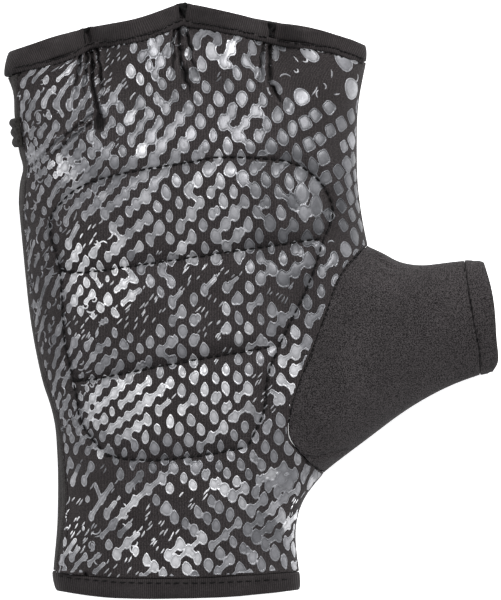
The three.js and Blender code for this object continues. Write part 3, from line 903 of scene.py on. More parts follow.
frayed_zones = [(-60, 12, 9, 46, 1.0), (-51, -20, 6, 16, 0.8), (-49, -68, 8, 13, 0.8),
                (-55, 62, 4, 8, 0.6), (-41, -1, 6, 8, 0.6), (20, -66, 5, 14, 0.4),
                (-58, 52, 6, 8, 0.4), (-20, 68, 3, 9, 0.6), (-38, -60, 11, 14, 0.4)]
# The next two charts are painted light on the foil: patches of painted highlight, then patches of painted
# shade.
painted_highlight_zones = [(-45, 8, 7, 13, 0.9), (-30, -29, 16, 9, 0.75), (-12, -27, 12, 12, 0.6),
                (-16, -51, 13, 4.5, 0.9), (-24, -70, 13, 6.5, 0.9), (-34, -57, 5, 4, 0.7),
                (-55, 60, 5, 10, 0.5), (-33, 60, 2.6, 4.5, 0.95), (-11, 69, 7, 3.5, 0.95),
                (15, 63.5, 3.5, 3.5, 0.95), (-53, 36.5, 3.5, 3.5, 0.9), (11.5, -23, 4, 9, 0.95),
                (-38, 5, 5, 10, 0.85), (-1, 50, 4, 6, 0.5), (-33, 52, 3, 3, 0.6),
                (-4, -12, 8, 5, 0.4), (-48, 32, 4, 3, 0.5), (14, -62, 4, 14, 0.5),
                (-50, -58, 4, 12, 0.4), (-14, 22, 18, 14, 0.2)]
painted_shade_zones = [(-60, 0, 8, 30, 0.65), (-25, -46.5, 26, 3.2, 0.7), (-47, 70, 4, 10, 0.6),
             (-52, -38, 6, 10, 0.4), (-19, 70, 3, 8, 0.6), (5, 64, 4, 8, 0.5), (17, -50, 10, 5, 0.5),
             (3, -66, 7, 5, 0.5), (-30, 28, 14, 5, 0.1), (27, 32, 5, 14, 0.3), (-56, 14, 4, 14, 0.6),
             (17, 27, 17, 34, 0.8), (-4, 66, 22, 12, 0.5), (-15, 62, 30, 14, 0.4),
             (12, 55, 16, 18, 0.5), (12, 14, 12, 16, 0.3), (-35, 56, 12, 12, 0.3),
             (-48, 46, 16, 28, 0.35)]


def zone_share(zones, x, y):
    """How strongly a place belongs to a set of soft ovals, from 0 to 1."""
    share = np.zeros(np.shape(x))
    for cx, cy, rx, ry, *most in zones:
        reach = ((x / mm - cx) / rx) ** 2 + ((y / mm - cy) / ry) ** 2
        soft = np.clip(1.5 - reach, 0, 1)
        share = np.maximum(share, soft * (most[0] if most else 1.0))
    return share


# %% [markdown]
# Scales are drawn as a landscape. Every scale is a hill whose height is the distance to its
# edge, links between neighbours are ridges, and hills that touch run together. The landscape is
# a fine grid over the unrolled cloth, in millimetres. Outlines drawn one by one would have to be
# cut wherever they overlap; hills blend by themselves.

# %% Hills and ridges
cell = 0.46
field_u = np.arange(-62.0, 62.0, cell)
field_v = np.arange(-79.0, 79.0, cell)
blend_softness = 0.13
egg_taper = 0.10
shore = 1.4
hills = np.zeros((len(field_v), len(field_u)))
dice = random.Random(11)


def window(u, v, reach):
    i0, i1 = np.searchsorted(field_u, (u - reach, u + reach))
    j0, j1 = np.searchsorted(field_v, (v - reach, v + reach))
    return slice(j0, j1), slice(i0, i1)


def raise_hill(rows, cols, distance):
    hills[rows, cols] += np.exp(np.clip(distance, -3, 2) / blend_softness)


def scale_hill(u, v, half_width, half_length, lean, point, bluntness=1.9):
    """An egg whose upper end comes to a point, as a hill on the field."""
    rows, cols = window(u, v, half_length + shore)
    uu, vv = np.meshgrid(field_u[cols] - u, field_v[rows] - v)
    across = uu * math.cos(lean) + vv * math.sin(lean)
    along = -uu * math.sin(lean) + vv * math.cos(lean)
    power = np.where(along > 0, point, bluntness)
    narrow = half_width * (1 - egg_taper * np.clip(along / half_length, -1, 1))
    size = (np.abs(across / narrow) ** power + np.abs(along / half_length) ** power) ** (1 / power)
    raise_hill(rows, cols, (1 - size) * min(half_width, half_length))


def link_ridge(a, b, radius):
    """A neck of film between two scales."""
    mid = ((a[0] + b[0]) / 2, (a[1] + b[1]) / 2)
    rows, cols = window(*mid, math.dist(a, b) / 2 + shore)
    uu, vv = np.meshgrid(field_u[cols], field_v[rows])
    du, dv = b[0] - a[0], b[1] - a[1]
    t = np.clip(((uu - a[0]) * du + (vv - a[1]) * dv) / (du * du + dv * dv), 0.15, 0.85)
    gap = np.hypot(uu - a[0] - t * du, vv - a[1] - t * dv)
    raise_hill(rows, cols, radius - gap)


# %% [markdown]
# The scales stand in columns, and neighbouring columns are staggered by half a row. Both pitches
# change over the hand, and the rows bend: up towards the middle finger, down to the side. They
# were measured on the photograph, area by area.

# %% The lattice
column_places = (-45, -30, -20, -8, 20, 30, 40, 60)
column_pitches = (1.65, 1.9, 2.18, 3.05, 3.1, 3.8, 4.3, 4.3)
row_places = (-64, -29, -3, 20, 40, 60, 75)
row_pitches = (5.3, 5.4, 5.6, 6.2, 6.9, 6.6, 6.4)
usual_area = 19.0


def column_pitch(u):
    return np.interp(u, column_places, column_pitches)


def row_pitch(v):
    return np.interp(v, row_places, row_pitches)


def ladder(reach, pitch):
    """Numbered steps from zero both ways, at a pitch that changes from place to place."""
    steps = {0: 0.0}
    for way in (1, -1):
        n, place = 0, 0.0
        while abs(place) < reach:
            place += way * pitch(place)
            n += way
            steps[n] = float(place)
    return steps


def fade_in(x):
    x = min(max(x, 0.0), 1.0)
    return x * x * (3 - 2 * x)


def drift(u, v):
    """The slow bend of the rows: up to the middle finger, down to the side, askew at the heel."""
    high = fade_in((v - 16) / 44)
    low = fade_in((-45 - v) / 15)
    left = fade_in((-5 - u) / 30)
    across = np.interp(v, (-80, -64, -30, -15, 0, 40, 80), (-8.8, -5.6, -0.5, 0.5, 0.0, -1.8, -4.0))
    across -= 0.15 * max(v - 40, 0.0) * fade_in((u + 12) / 10)
    along = -0.3 * high * (math.hypot(max(u, -28.0) + 2, 5) - 5)
    along += 0.16 * low * u
    tilt = np.interp(v, (-29, -3, 24), (-0.02, 0.24, 0.44))
    along -= (tilt * min(u + 12, 0.0) + 0.12 * left * v) * (1 - high) * (1 - low)
    along += 0.14 * max(v - 16, 0.0) * fade_in((u - 4) / 28)
    return u + across, v + along


growths = {}


def lattice():
    """The scales' places on the unrolled cloth, in millimetres, keyed by column and half row."""
    found = {}
    half_rows = ladder(92.0, lambda v: row_pitch(v) / 2)
    for i, column in ladder(72.0, column_pitch).items():
        for k, row in half_rows.items():
            if (i + k) % 2 == 0:
                u, v = drift(column, row)
                u += 0.5 * math.sin(v / 9) + dice.uniform(-0.28, 0.28)
                v += 0.5 * math.sin(u / 8) + dice.uniform(-0.32, 0.32)
                if abs(v) < 80 and abs(u) < 63:
                    found[i, k] = (u, v)
                    growths[i, k] = math.sqrt(column_pitch(column) * row_pitch(row) / usual_area)
                    growths[i, k] *= 1 + 0.12 * fade_in((column - 20) / 14) * fade_in((row - 16) / 10)
    return found


sites = lattice()
site_list = list(sites)
site_uv = np.array([sites[s] for s in site_list])
site_x = plan_of(site_uv[:, 0] * mm, site_uv[:, 1] * mm)
site_y = site_uv[:, 1] * mm
print("scales on the lattice:", len(site_list))

# %% [markdown]
# Every scale looks up the charts at its own place on the glove, and so gets its share of each kind. Its
# colour carries painted reflection: lighter in the charted highlights and in bare patches, darker in the
# charted shade, with a little random tone on top.

# %% What each scale is
plain_reflection_and_tone = 0.43


def by_site(values):
    return dict(zip(site_list, values))


bare = by_site(zone_share(bare_zones, site_x, site_y))
chained = by_site(zone_share(chain_zones, site_x, site_y))
swollen = by_site(zone_share(blob_zones, site_x, site_y))
squared = by_site(zone_share(square_zones, site_x, site_y))
frayed = by_site(zone_share(frayed_zones, site_x, site_y))
hooked = by_site(zone_share(hook_zones, site_x, site_y))
luck = np.array([dice.gauss(0, 1) for _ in site_list])
# Painted reflection: lighter in the highlight charts and in bare patches, darker in the shade charts,
# with random tone on top.
scale_reflection_and_tone = plain_reflection_and_tone + 0.5 * zone_share(painted_highlight_zones, site_x, site_y) + 0.06 * luck
scale_reflection_and_tone -= 0.38 * zone_share(painted_shade_zones, site_x, site_y)
scale_reflection_and_tone += np.where(luck > 2.1, 0.1, 0.0) + 0.2 * zone_share(bare_zones, site_x, site_y)
print("gleam from", round(scale_reflection_and_tone.min(), 2), "to", round(scale_reflection_and_tone.max(), 2))

# %% [markdown]
# What shows at a place depends on its kind and on the dice. In a bare patch it is a few strokes
# or one lone scale. At the index finger's side it is a square. Elsewhere it is an egg, sometimes
# with a bud, and often joined to its upper neighbours. Chains run up to the right.

# %% Strokes, squares and eggs
egg_width, egg_length = 1.32, 2.14
lone_width, lone_length = 1.8, 2.1
square_width, square_length = 1.7, 2.1
bud_reach, bud_rise, bud_length = 1.75, 1.6, 1.6
strokes = []


def scatter_strokes(u, v, count, spread, hooks):
    """Slivers that lean like the scales, or hooks and rings that turn every way."""
    for _ in range(count):
        if hooks:
            sweep = dice.choice((0.5, 1.8, 2.6, -2.0, 4.6))
            half = dice.uniform(1.0, 1.9)
            angle = math.radians(50 + dice.uniform(-60, 60))
        else:
            sweep = dice.choice((0.2, 0.4, -0.3, 0.6))
            half = dice.uniform(0.65, 1.3)
            angle = math.radians(54 + dice.uniform(-10, 10))
        strokes.append((u + dice.uniform(-spread, spread), v + dice.uniform(-spread, spread),
                        angle, half, sweep))


def draw_bare(u, v, size, hooks, roll):
    """Fills a bare patch, and tells whether anything was drawn."""
    if hooks and roll < 0.2:
        scale_hill(u, v, lone_width * size, lone_length * size, math.radians(30), 2.0, 2.4)
        return True
    if hooks or roll > 0.06:
        count = dice.choice((1, 1, 2, 2) if hooks else (2, 3, 3, 4))
        scatter_strokes(u, v, count, 1.7, hooks)
        return True
    return False


def draw_square(u, v, roll):
    size = dice.uniform(0.82, 1.15)
    turn = math.radians(36 + dice.uniform(-14, 14))
    if roll > 0.12:
        scale_hill(u, v, square_width * size, square_length * size, turn, 4.0, 4.0)


def draw_egg(here, size, slim, lean):
    u, v = sites[here]
    chain, blob = chained[here], swollen[here]
    swell = 1 + 0.12 * blob + 0.04 * chain
    tip = dice.uniform(1.35, 1.65)
    scale_hill(u, v, egg_width * size * slim * swell, egg_length * size * swell, lean, tip)
    if dice.random() < 0.24 + 0.30 * blob - 0.18 * chain:
        turn = math.radians(dice.choice((35, 50, 215, -40)) + dice.uniform(-15, 15))
        bud = dice.uniform(0.75, 1.0) * growths[here]
        bud_u = u + bud_reach * bud * math.cos(turn)
        bud_v = v + bud_rise * bud * math.sin(turn)
        scale_hill(bud_u, bud_v, bud, bud_length * bud, lean, tip)


def draw_links(here, torn):
    i, k = here
    chain, blob, grown = chained[here], swollen[here], growths[here]
    up_right = sites.get((i + 1, k + 1))
    up_left = sites.get((i - 1, k + 1))
    linked = 0.5 if torn else 1.0
    if up_right and dice.random() < (0.12 + 0.72 * chain + 0.25 * blob) * linked:
        radius = dice.uniform(0.55, 0.8) + 0.2 * max(blob, chain)
        link_ridge(sites[here], up_right, radius * grown)
    if up_left and dice.random() < (0.04 + 0.14 * blob) * linked:
        link_ridge(sites[here], up_left, 0.7 * grown)


# %% Walk the lattice
for here, (u, v) in sites.items():
    roll = dice.random()
    hooks = hooked[here] > 0.5
    size = dice.uniform(0.88, 1.12) * growths[here]
    slim = dice.uniform(0.84, 1.14)
    lean = math.radians(7 + dice.uniform(-10, 10)) + (math.pi if dice.random() < 0.1 else 0.0)
    if bare[here] > 0.35 + 0.4 * roll:
        if draw_bare(u, v, size, hooks, roll):
            continue
    elif roll < 0.03:
        scatter_strokes(u, v, 2, 1.2, hooks)
        continue
    if squared[here] > 0.5:
        draw_square(u, v, roll)
        continue
    torn = frayed[here] > dice.random()
    if torn:
        scatter_strokes(u, v, dice.choice((0, 1, 2)), 1.8, dice.random() < 0.6)
        size *= dice.uniform(0.45, 0.95)
    draw_egg(here, size, slim, lean)
    draw_links(here, torn)
print("strokes:", len(strokes))

# %% [markdown]
# The foil stops just short of the seams, so the landscape also sinks towards the border of the
# part of the palm that can be seen from above. A search tree of the places beyond it says how
# far each point is from that border.

# %% Keep the foil off the seams
lowest_foil = 4.5 * mm
seam_margin = 0.75
heights = blend_softness * np.log(np.maximum(hills, 1e-9))
grid_u, grid_v = np.meshgrid(field_u, field_v)
flat_u, flat_v = grid_u.ravel() * mm, grid_v.ravel() * mm


def on_palm(x, y):
    place, normal = surface_below(palm_skin, x, y)
    return place is not None and place.z > lowest_foil and normal.z > 0.05


covered = np.array([on_palm(x, y) for x, y in zip(plan_of(flat_u, flat_v), flat_v)])
border = KDTree(int((~covered).sum()))
for n in np.flatnonzero(~covered):
    border.insert((flat_u[n] / mm, flat_v[n] / mm, 0.0), int(n))
border.balance()
to_border = np.array([
    border.find((u / mm, v / mm, 0.0))[2] if inside else 0.0
    for u, v, inside in zip(flat_u, flat_v, covered)
])
field = np.minimum(heights.ravel(), to_border - seam_margin)

# %% [markdown]
# One slice at sea level leaves islands with clean shores. The grid is cut by an operator, and all
# that lies under water is thrown away.

# %% Slice the islands out
film = bmesh.new()
half_u = (field_u[-1] - field_u[0]) / 2 * mm
half_v = (field_v[-1] - field_v[0]) / 2 * mm
centre = Vector(((field_u[0] + field_u[-1]) / 2 * mm, (field_v[0] + field_v[-1]) / 2 * mm, 0))
bmesh.ops.create_grid(
    film,
    x_segments=len(field_u) - 1,
    y_segments=len(field_v) - 1,
    size=1.0,
    matrix=Matrix.Translation(centre) @ Matrix.Diagonal((half_u, half_v, 1.0, 1.0)),
)
for vertex, height in zip(film.verts, field):
    vertex.co.z = height * mm
bmesh.ops.bisect_plane(
    film,
    geom=film.verts[:] + film.edges[:] + film.faces[:],
    dist=1e-7,
    plane_co=(0.0, 0.0, 0.0),
    plane_no=(0.0, 0.0, 1.0),
    clear_inner=True,
)
print("faces above the water:", len(film.faces))

# %% [markdown]
# In the bare patches the film is left only as thin strokes: slivers, hooks and little rings.
# Each is a narrow grid bent along an arc, high in the middle and thin at its rim.

# %% Strokes in the bare patches
stroke_half_width = 0.25
stroke_height = 0.22 * mm


def add_stroke(bm, u, v, angle, half_length, sweep):
    segments = 4 if abs(sweep) < 1.2 else 9
    radius = 2 * half_length / sweep
    made = bmesh.ops.create_grid(bm, x_segments=segments, y_segments=2, size=1.0)["verts"]
    for vertex in made:
        s, t = vertex.co.x, vertex.co.y
        taper = math.sqrt(max(0.0, 1 - s * s))
        turn = s * sweep / 2
        reach = radius - t * stroke_half_width * (0.25 + 0.75 * taper)
        along, across = reach * math.sin(turn), radius - reach * math.cos(turn)
        vertex.co = Vector((
            (u + along * math.cos(angle) - across * math.sin(angle)) * mm,
            (v + along * math.sin(angle) + across * math.cos(angle)) * mm,
            stroke_height * taper if abs(t) < 0.5 else 0.0,
        ))


for stroke in strokes:
    add_stroke(film, *stroke)
print("faces with the strokes:", len(film.faces))

# %% [markdown]
# Mirroring the islands in the water closes each into a thin shell, so the film is a solid thing
# with a top, a rim and an underside.

# %% Close the shells
bmesh.ops.mirror(
    film,
    geom=film.verts[:] + film.edges[:] + film.faces[:],
    merge_dist=1e-6,
    axis="Z",
)
bmesh.ops.recalc_face_normals(film, faces=film.faces)
print_mesh = bpy.data.meshes.new("foil_print")
film.to_mesh(print_mesh)
film.free()
print("faces of the closed film:", len(print_mesh.polygons))

# %% [markdown]
# Draping lays every point of the film on the palm: its place on the cloth gives a place in plan, and a
# ray finds the surface there. The top stands a tenth of a millimetre proud, thinning to the rim, and the
# underside sinks into the knit. Each point keeps its distance to the rim and the painted reflection and
# random tone of the nearest scale, for the material.

# %% Drape the film
film_rise = 0.12 * mm
film_root = 0.1 * mm
lip_width = 0.3 * mm
waterline = 1e-7
points = numbers(print_mesh.vertices, "co")
depth = points[:, 2].copy()
flat = points[:, :2].copy()
plan_x = plan_of(flat[:, 0], flat[:, 1])
site_tree = KDTree(len(site_uv))
for n, (u, v) in enumerate(site_uv):
    site_tree.insert((u * mm, v * mm, 0.0), n)
site_tree.balance()
draped = np.empty_like(points)
painted_reflection_and_tone = np.empty(len(points))
for n, (x, (u, v), z) in enumerate(zip(plan_x, flat, depth)):
    place, normal = surface_below(palm_skin, x, v)
    if place is None:
        place, normal = palm_skin.find_nearest(Vector((x, v, 15 * mm)))[:2]
    t = min(1.0, abs(z) / lip_width)
    soft = t * t * (3 - 2 * t)
    lift = 0.0
    if z > waterline:
        lift = film_rise * (0.3 + 0.7 * soft)
    elif z < -waterline:
        lift = -film_root
    draped[n] = place + normal * lift
    painted_reflection_and_tone[n] = scale_reflection_and_tone[site_tree.find((u, v, 0.0))[1]]
set_places(print_mesh, draped)
set_values(print_mesh, "depth", np.abs(depth) / mm)
set_values(print_mesh, "painted_reflection_and_tone", np.clip(painted_reflection_and_tone, 0.0, 1.0))
set_values(print_mesh, "crease", crease_shade(draped[:, :2]))
set_values(print_mesh, "unrolled", np.column_stack([flat, np.zeros(len(flat))]))
make_piece("foil_print", print_mesh, foil, "foil_print")

# %% [markdown]
# Back, thumb and hem are plain panels. Where two panels meet, the measured walls leave a hair of
# room, as solids must. Real panels are sewn edge to edge, so each point near a neighbour is drawn
# over to it until the two just touch.

# %% Sew a panel to its neighbour
def sew_to(mesh, skin, widest=1.6 * mm, spread=4 * mm, seam=0.04 * mm):
    """Draws a panel's edge over to its neighbour; the pull fades out over the spread."""
    points = numbers(mesh.vertices, "co")
    hits = [skin.find_nearest(Vector(point), widest + spread) for point in points]
    close = [n for n, hit in enumerate(hits) if hit[0] is not None]
    tree = KDTree(len(close))
    for n in close:
        tree.insert(points[n], n)
    tree.balance()
    moved = points.copy()
    for n in close:
        near, _, _, distance = hits[n]
        room = min(hits[k][3] for _, k, _ in tree.find_range(points[n], 2.2 * mm))
        if seam < room < widest:
            pull = (room - seam) * max(0.0, 1 - (distance - room) / spread)
            moved[n] += (np.array(near) - points[n]) / distance * pull
    set_places(mesh, moved)


def crease_mesh(mesh, lines, depth, width, lip_height, floor_height):
    """Presses creases and a faint unevenness into the upper side of a panel."""
    points = numbers(mesh.vertices, "co")
    normals = numbers(mesh.vertex_normals, "vector")
    drop = fold_relief(points[:, :2], lines, depth, width, lip_height)
    drop += 0.18 * mm * soft_noise(points, 8 * mm, 5)
    outer = facing_up(normals) * (points[:, 2] > floor_height)
    set_places(mesh, points - normals * (drop * outer)[:, None])


# %% [markdown]
# The back is a plain panel that wraps round the little finger's side. It goes in under the palm's
# edge there, dips where the side creases pull at it, and is tucked in at the heel below the thumb.

# %% Back panel
heel_tuck, heel_y, heel_spread = 1.9 * mm, -58.6 * mm, 5.2 * mm
side_dips = [(58 * mm, 5 * mm, 1.3 * mm), (37 * mm, 3 * mm, 0.9 * mm)]
strip_drop = 0.6 * mm


def tuck_back(mesh):
    """Draws the back in under the palm: at the left strip, and at the heel below the thumb."""
    points = numbers(mesh.vertices, "co")
    bulge = heel_tuck * bell(points[:, 1] - heel_y, heel_spread)
    points[:, 0] -= bulge * np.clip((points[:, 0] - 5 * mm) / (6 * mm), 0, 1)
    dip = sum(depth * bell(points[:, 1] - y, spread) for y, spread, depth in side_dips)
    points[:, 0] += dip * np.clip((-59 * mm - points[:, 0]) / (4 * mm), 0, 1)
    inside = points[:, 0] - np.interp(points[:, 1], *left_edge(palm_mesh))
    covered = np.clip(inside / (0.8 * mm), 0, 1) * np.clip((8 * mm - inside) / (2 * mm), 0, 1)
    points[:, 2] -= strip_drop * covered * (points[:, 2] > 4 * mm)
    set_places(mesh, points)


tuck_back(back_mesh)
sew_to(back_mesh, palm_skin)
back = make_piece("back", back_mesh, back_cloth, "back_jersey", "back_panel")
hand_skin = surface_of(palm_mesh, back_mesh)

# %% [markdown]
# The thumb is a tube of jersey set into the palm, with a few soft creases where it meets the heel
# and the web. Its hem is the same cloth, turned in and stitched.

# %% Thumb and hem
thumb_creases = {
    "heel": smooth_line([(14.0, -43.2), (18.0, -43.6), (23.0, -42.4), (30.0, -40.6)]),
    "web": smooth_line([(34.0, 12.5), (38.0, 9.5), (43.0, 7.8)]),
}
thumb_mesh = cloth_copy("thumb_stall")
refine(thumb_mesh, outer_faces(thumb_mesh)[0])
crease_mesh(thumb_mesh, thumb_creases, 0.6 * mm, 0.6 * mm, 0.3 * mm, 5 * mm)
sew_to(thumb_mesh, hand_skin)
thumb = make_piece("thumb", thumb_mesh, thumb_cloth, "thumb_jersey", "thumb_stall")

hem_mesh = cloth_copy("thumb_hem")
sew_to(hem_mesh, surface_of(thumb_mesh))
hem = make_piece("thumb_hem_band", hem_mesh, thumb_cloth, "thumb_jersey", "thumb_hem")

# %% [markdown]
# A tape binds the finger edge and another the wrist. The tape is folded over the raw edges of
# both panels and sewn through. Its ribs follow the edge lines, and its stitches the seam lines.
# The threads between the fingers press three dents into it.

# %% Lines of the bindings
finger_edge = smooth_line([(-69.0, 66.5), (-60.0, 71.0), (-46.4, 76.2), (-33.0, 78.2), (-19.2, 83.2),
                           (5.7, 77.7), (18.0, 75.9), (26.0, 73.9), (33.0, 70.6)])
wrist_edge = smooth_line([(-56.0, -81.5), (-42.4, -82.9), (-17.2, -83.2), (-5.5, -82.8), (14.0, -81.0)])
finger_seam = smooth_line([(-66.5, 64.7), (-55.3, 66.8), (-49.1, 69.2), (-44.9, 71.6), (-37.1, 72.3),
                           (-27.9, 74.3), (-20.0, 77.9), (-17.8, 77.7), (-6.0, 75.6), (5.3, 73.0),
                           (10.2, 71.9), (21.7, 70.4), (27.9, 68.4), (31.6, 67.2)])
wrist_seam = smooth_line([(-54.5, -76.9), (-49.0, -77.5), (-34.9, -78.5), (-17.0, -78.7),
                          (-0.7, -78.2), (12.6, -77.6)])
tack_dents = {
    "dent_1": smooth_line([(-46.8, 79.0), (-45.9, 74.6), (-45.0, 71.4), (-44.6, 66.0)]),
    "dent_2": smooth_line([(-18.9, 86.0), (-19.3, 81.0), (-20.1, 77.8), (-20.4, 72.0)]),
    "dent_3": smooth_line([(5.6, 80.5), (5.7, 75.5), (5.8, 73.0), (5.5, 68.0)]),
}
print("finger tape:", round(line_length(finger_edge) / mm), "mm along its front")

# %% [markdown]
# Below its stitches the finger tape shows a narrow flange, the edge of its folded lower half. It
# is a strip of cloth laid along the seam on whatever is highest there, and made solid.

# %% Flange of the finger tape
def add_flange(mesh, seam, width, lift, thickness):
    """Adds a narrow strip of tape along a seam, on the palm's side of it."""
    skin = surface_of(palm_mesh, mesh)
    bm = bmesh.new()
    bm.from_mesh(mesh)
    made = bmesh.ops.create_grid(bm, x_segments=len(seam) - 1, y_segments=3, size=1.0)["verts"]
    ahead = np.gradient(seam, axis=0)
    ahead /= np.linalg.norm(ahead, axis=1)[:, None]
    right = np.column_stack([ahead[:, 1], -ahead[:, 0]])
    tops = []
    for place, side in zip(seam, right):
        hits = [surface_below(skin, *(place + side * d))[0] for d in (0.0, width / 2, width)]
        tops.append(max(hit.z for hit in hits if hit is not None))
    tops = running_mean(tops)
    for vertex in made:
        k = round((vertex.co.x + 1) / 2 * (len(seam) - 1))
        share = (1 - vertex.co.y) / 2
        height = lift * (0.2 + 0.8 * math.sin(math.pi * (0.3 + 0.55 * share)))
        plan = seam[k] + right[k] * width * (share - 0.12)
        vertex.co = Vector((*plan, tops[k] + height))
    strip = list({face for vertex in made for face in vertex.link_faces})
    bmesh.ops.recalc_face_normals(bm, faces=strip)
    bmesh.ops.solidify(bm, geom=strip, thickness=thickness)
    bmesh.ops.recalc_face_normals(bm, faces=bm.faces)
    bm.to_mesh(mesh)
    bm.free()


# %% [markdown]
# Both bindings are made alike: finer faces on the upper side, the dents, and edges drawn over to
# the panels. Each carries how far along its edge every point lies, for the ribs.

# %% Bindings
def binding(name, node, edge, seam=None):
    mesh = cloth_copy(node, crease=0.4)
    refine(mesh, outer_faces(mesh, 5 * mm)[0])
    crease_mesh(mesh, tack_dents, 0.9 * mm, 0.6 * mm, 0.3 * mm, 5 * mm)
    sew_to(mesh, hand_skin, 0.5 * mm, 1.5 * mm)
    if seam is not None:
        add_flange(mesh, seam, 1.7 * mm, 0.38 * mm, 0.3 * mm)
    points = numbers(mesh.vertices, "co")
    across, run = measure_to(edge, points[:, :2])
    set_values(mesh, "tape_run", np.column_stack([run, across, points[:, 2]]))
    return make_piece(name, mesh, tape, "binding_tape", node)


finger_tape = binding("finger_tape", "finger_binding", finger_edge, finger_seam)
wrist_tape = binding("wrist_tape", "wrist_binding", wrist_edge)
glove_skin = surface_of(palm_mesh, back_mesh, thumb_mesh, hem_mesh, finger_tape.data, wrist_tape.data)


def on_glove(x, y):
    return surface_below(glove_skin, x, y)


# %% [markdown]
# Every seam shows its thread: short black stitches that dip into the cloth at the needle holes.
# One helper walks along a line in plan, finds the surface under each stitch, and lays a slim
# spindle on it. A little unevenness in place and length makes it look sewn.

# %% Stitches
needle = random.Random(23)
stitches = bmesh.new()


def lay_stitch(bm, start, end, up, thickness):
    along = end - start
    length = along.length
    along = along / length
    side = up.cross(along).normalized()
    lay = Matrix((side * thickness / 2, along.cross(side) * thickness / 2, along * length / 2))
    place = lay.transposed().to_4x4()
    place.translation = (start + end) / 2
    bmesh.ops.create_uvsphere(bm, u_segments=6, v_segments=5, radius=1.0, matrix=place)


def point_on(line, run):
    total = line_length(line)
    k = min(max(run / total, 0.0), 1.0) * (len(line) - 1)
    n = min(int(k), len(line) - 2)
    return line[n] + (line[n + 1] - line[n]) * (k - n)


def sew(line, pitch, length, thickness, slant, wander, sink):
    """Lays stitches along a line in plan, on whatever surface lies under it."""
    count = int(line_length(line) / pitch)
    for n in range(count):
        run = (n + 0.5) * pitch
        a = point_on(line, run - length / 2)
        b = point_on(line, run + length / 2)
        shift = needle.uniform(-wander, wander)
        tilt = needle.uniform(-slant, slant)
        side = np.array((a[1] - b[1], b[0] - a[0])) / max(np.linalg.norm(b - a), 1e-9)
        a = a + side * (shift - tilt)
        b = b + side * (shift + tilt)
        start, up = on_glove(*a)
        end, up_too = on_glove(*b)
        if start is None or end is None or (start - end).length > 2.5 * length:
            continue
        up = (up + up_too).normalized()
        rise = up * (thickness / 2 - sink)
        lay_stitch(stitches, start + rise, end + rise, up, thickness)


thumb_seam = smooth_line([(32.5, 15.3), (30.1, 13.4), (26.2, 9.2), (23.8, 5.0), (22.3, 1.4),
                          (20.9, -3.6), (18.1, -10.4), (16.4, -16.1), (13.9, -21.3), (12.7, -24.8),
                          (10.8, -30.5), (10.2, -35.0), (10.8, -39.2), (13.3, -42.6), (15.1, -44.5),
                          (17.5, -46.5), (20.4, -47.9)])
hem_seam = smooth_line([(59.2, 9.5), (60.9, 0.6), (62.3, -7.8), (63.4, -12.6), (64.3, -19.3)])
flange_seam = smooth_line([tuple(p / mm - (0.2, 1.5)) for p in finger_seam[2:-1:6]])
for line in quilt_lines.values():
    sew(line, stitch_pitch, 1.75 * mm, 0.56 * mm, 0.08 * mm, 0.08 * mm, -0.03 * mm)
seams = [
    # line, pitch, length, thickness, slant, wander, sink, in millimetres
    (finger_seam, 1.15, 1.15, 0.42, 0.18, 0.16, 0.0),
    (flange_seam, 1.5, 0.8, 0.34, 0.2, 0.15, 0.0),
    (wrist_seam, 2.5, 1.7, 0.36, 0.05, 0.05, 0.0),
    (thumb_seam, 1.5, 1.2, 0.45, 0.1, 0.08, 0.12),
    (hem_seam, 2.2, 1.3, 0.34, 0.05, 0.04, 0.0),
]
for line, *sizes in seams:
    sew(line, *(size * mm for size in sizes))
stitch_mesh = bpy.data.meshes.new("stitches")
stitches.to_mesh(stitch_mesh)
stitches.free()
make_piece("stitches", stitch_mesh, thread, "sewing_thread")

# %% [markdown]
# Between the fingers a bar of thread ties palm and back together through both tapes. Its core
# follows the measured solid, and slanted wraps cover it where it shows on the tape.

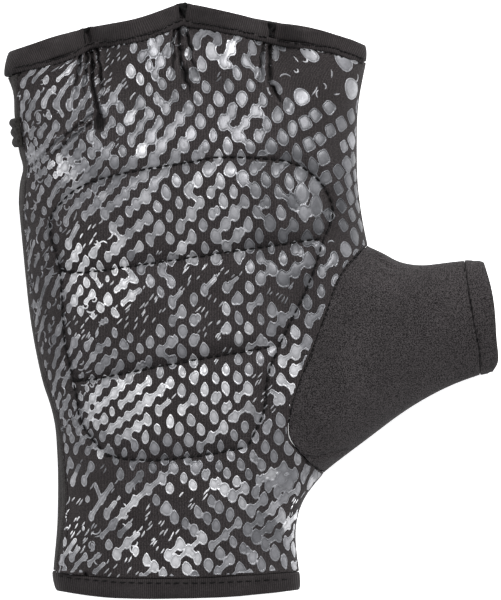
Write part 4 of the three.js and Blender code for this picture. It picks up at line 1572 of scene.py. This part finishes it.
# %% Finger threads
core_share = 0.30
core_end = 0.3 * mm
proud_most = 0.02 * mm
wrap_count = 7
wrap_thickness = 0.28 * mm
tack_lines = {
    1: smooth_line([(-46.9, 76.0), (-45.9, 74.6), (-45.4, 72.6), (-45.0, 71.4)], 0.4),
    2: smooth_line([(-18.9, 82.9), (-19.3, 81.0), (-19.7, 79.2), (-20.1, 77.8)], 0.4),
    3: smooth_line([(5.6, 77.5), (5.7, 75.5), (5.8, 73.0)], 0.4),
}


def thin_core(points, line):
    """Draws the measured core in: slim, short beyond the tape's edge, and flush with it."""
    edge_y = line[0][1] + core_end
    beyond = points[:, 1] > edge_y
    points[beyond, 1] = edge_y + (points[beyond, 1] - edge_y) * 0.4
    centre_x = points[:, 0].mean()
    points[:, 0] = centre_x + (points[:, 0] - centre_x) * core_share
    for k, point in enumerate(points):
        near, up, _, _ = glove_skin.find_nearest(Vector(point))
        proud = (Vector(point) - near).dot(up)
        points[k] -= np.array(up) * max(0.0, proud - proud_most)
    return points


for n, line in tack_lines.items():
    node = f"finger_tack_{n}"
    mesh = cloth_copy(node, 1)
    set_places(mesh, thin_core(numbers(mesh.vertices, "co"), line))
    bm = bmesh.new()
    bm.from_mesh(mesh)
    for k in range(wrap_count):
        place, up = on_glove(*point_on(line, (k + 0.5) / wrap_count * line_length(line)))
        if place is None:
            continue
        angle = math.radians(needle.choice((-1, 1)) * needle.uniform(20, 75))
        reach = needle.uniform(0.15, 0.32) * mm
        offset = Vector((math.sin(angle), math.cos(angle), 0.0)) * reach
        lift = up * needle.uniform(0.02, 0.12) * mm
        lay_stitch(bm, place - offset + lift, place + offset + lift, up, wrap_thickness)
    bm.to_mesh(mesh)
    bm.free()
    make_piece(f"finger_thread_{n}", mesh, thread, "sewing_thread", node)

# %% [markdown]
# The tab at the side is a short ribbed piece of rubbery weave, caught in the seam. Its ribs are
# in the measured solid, so a smooth copy of that is all it needs.

# %% Side tab
make_piece("side_tab", cloth_copy("edge_tab"), tab_skin, "tab_rubber", "edge_tab")

# %% [markdown]
# Half of a closed wall's surface is the cloth itself.

def declare_sheet(piece):
    area = sum(p.area for p in piece.data.polygons) / 2
    print(piece.name, "cloth area in mm2:", round(area / mm**2))


declare_sheet(back)
declare_sheet(thumb)
declare_sheet(hem)
declare_sheet(finger_tape)
declare_sheet(wrist_tape)
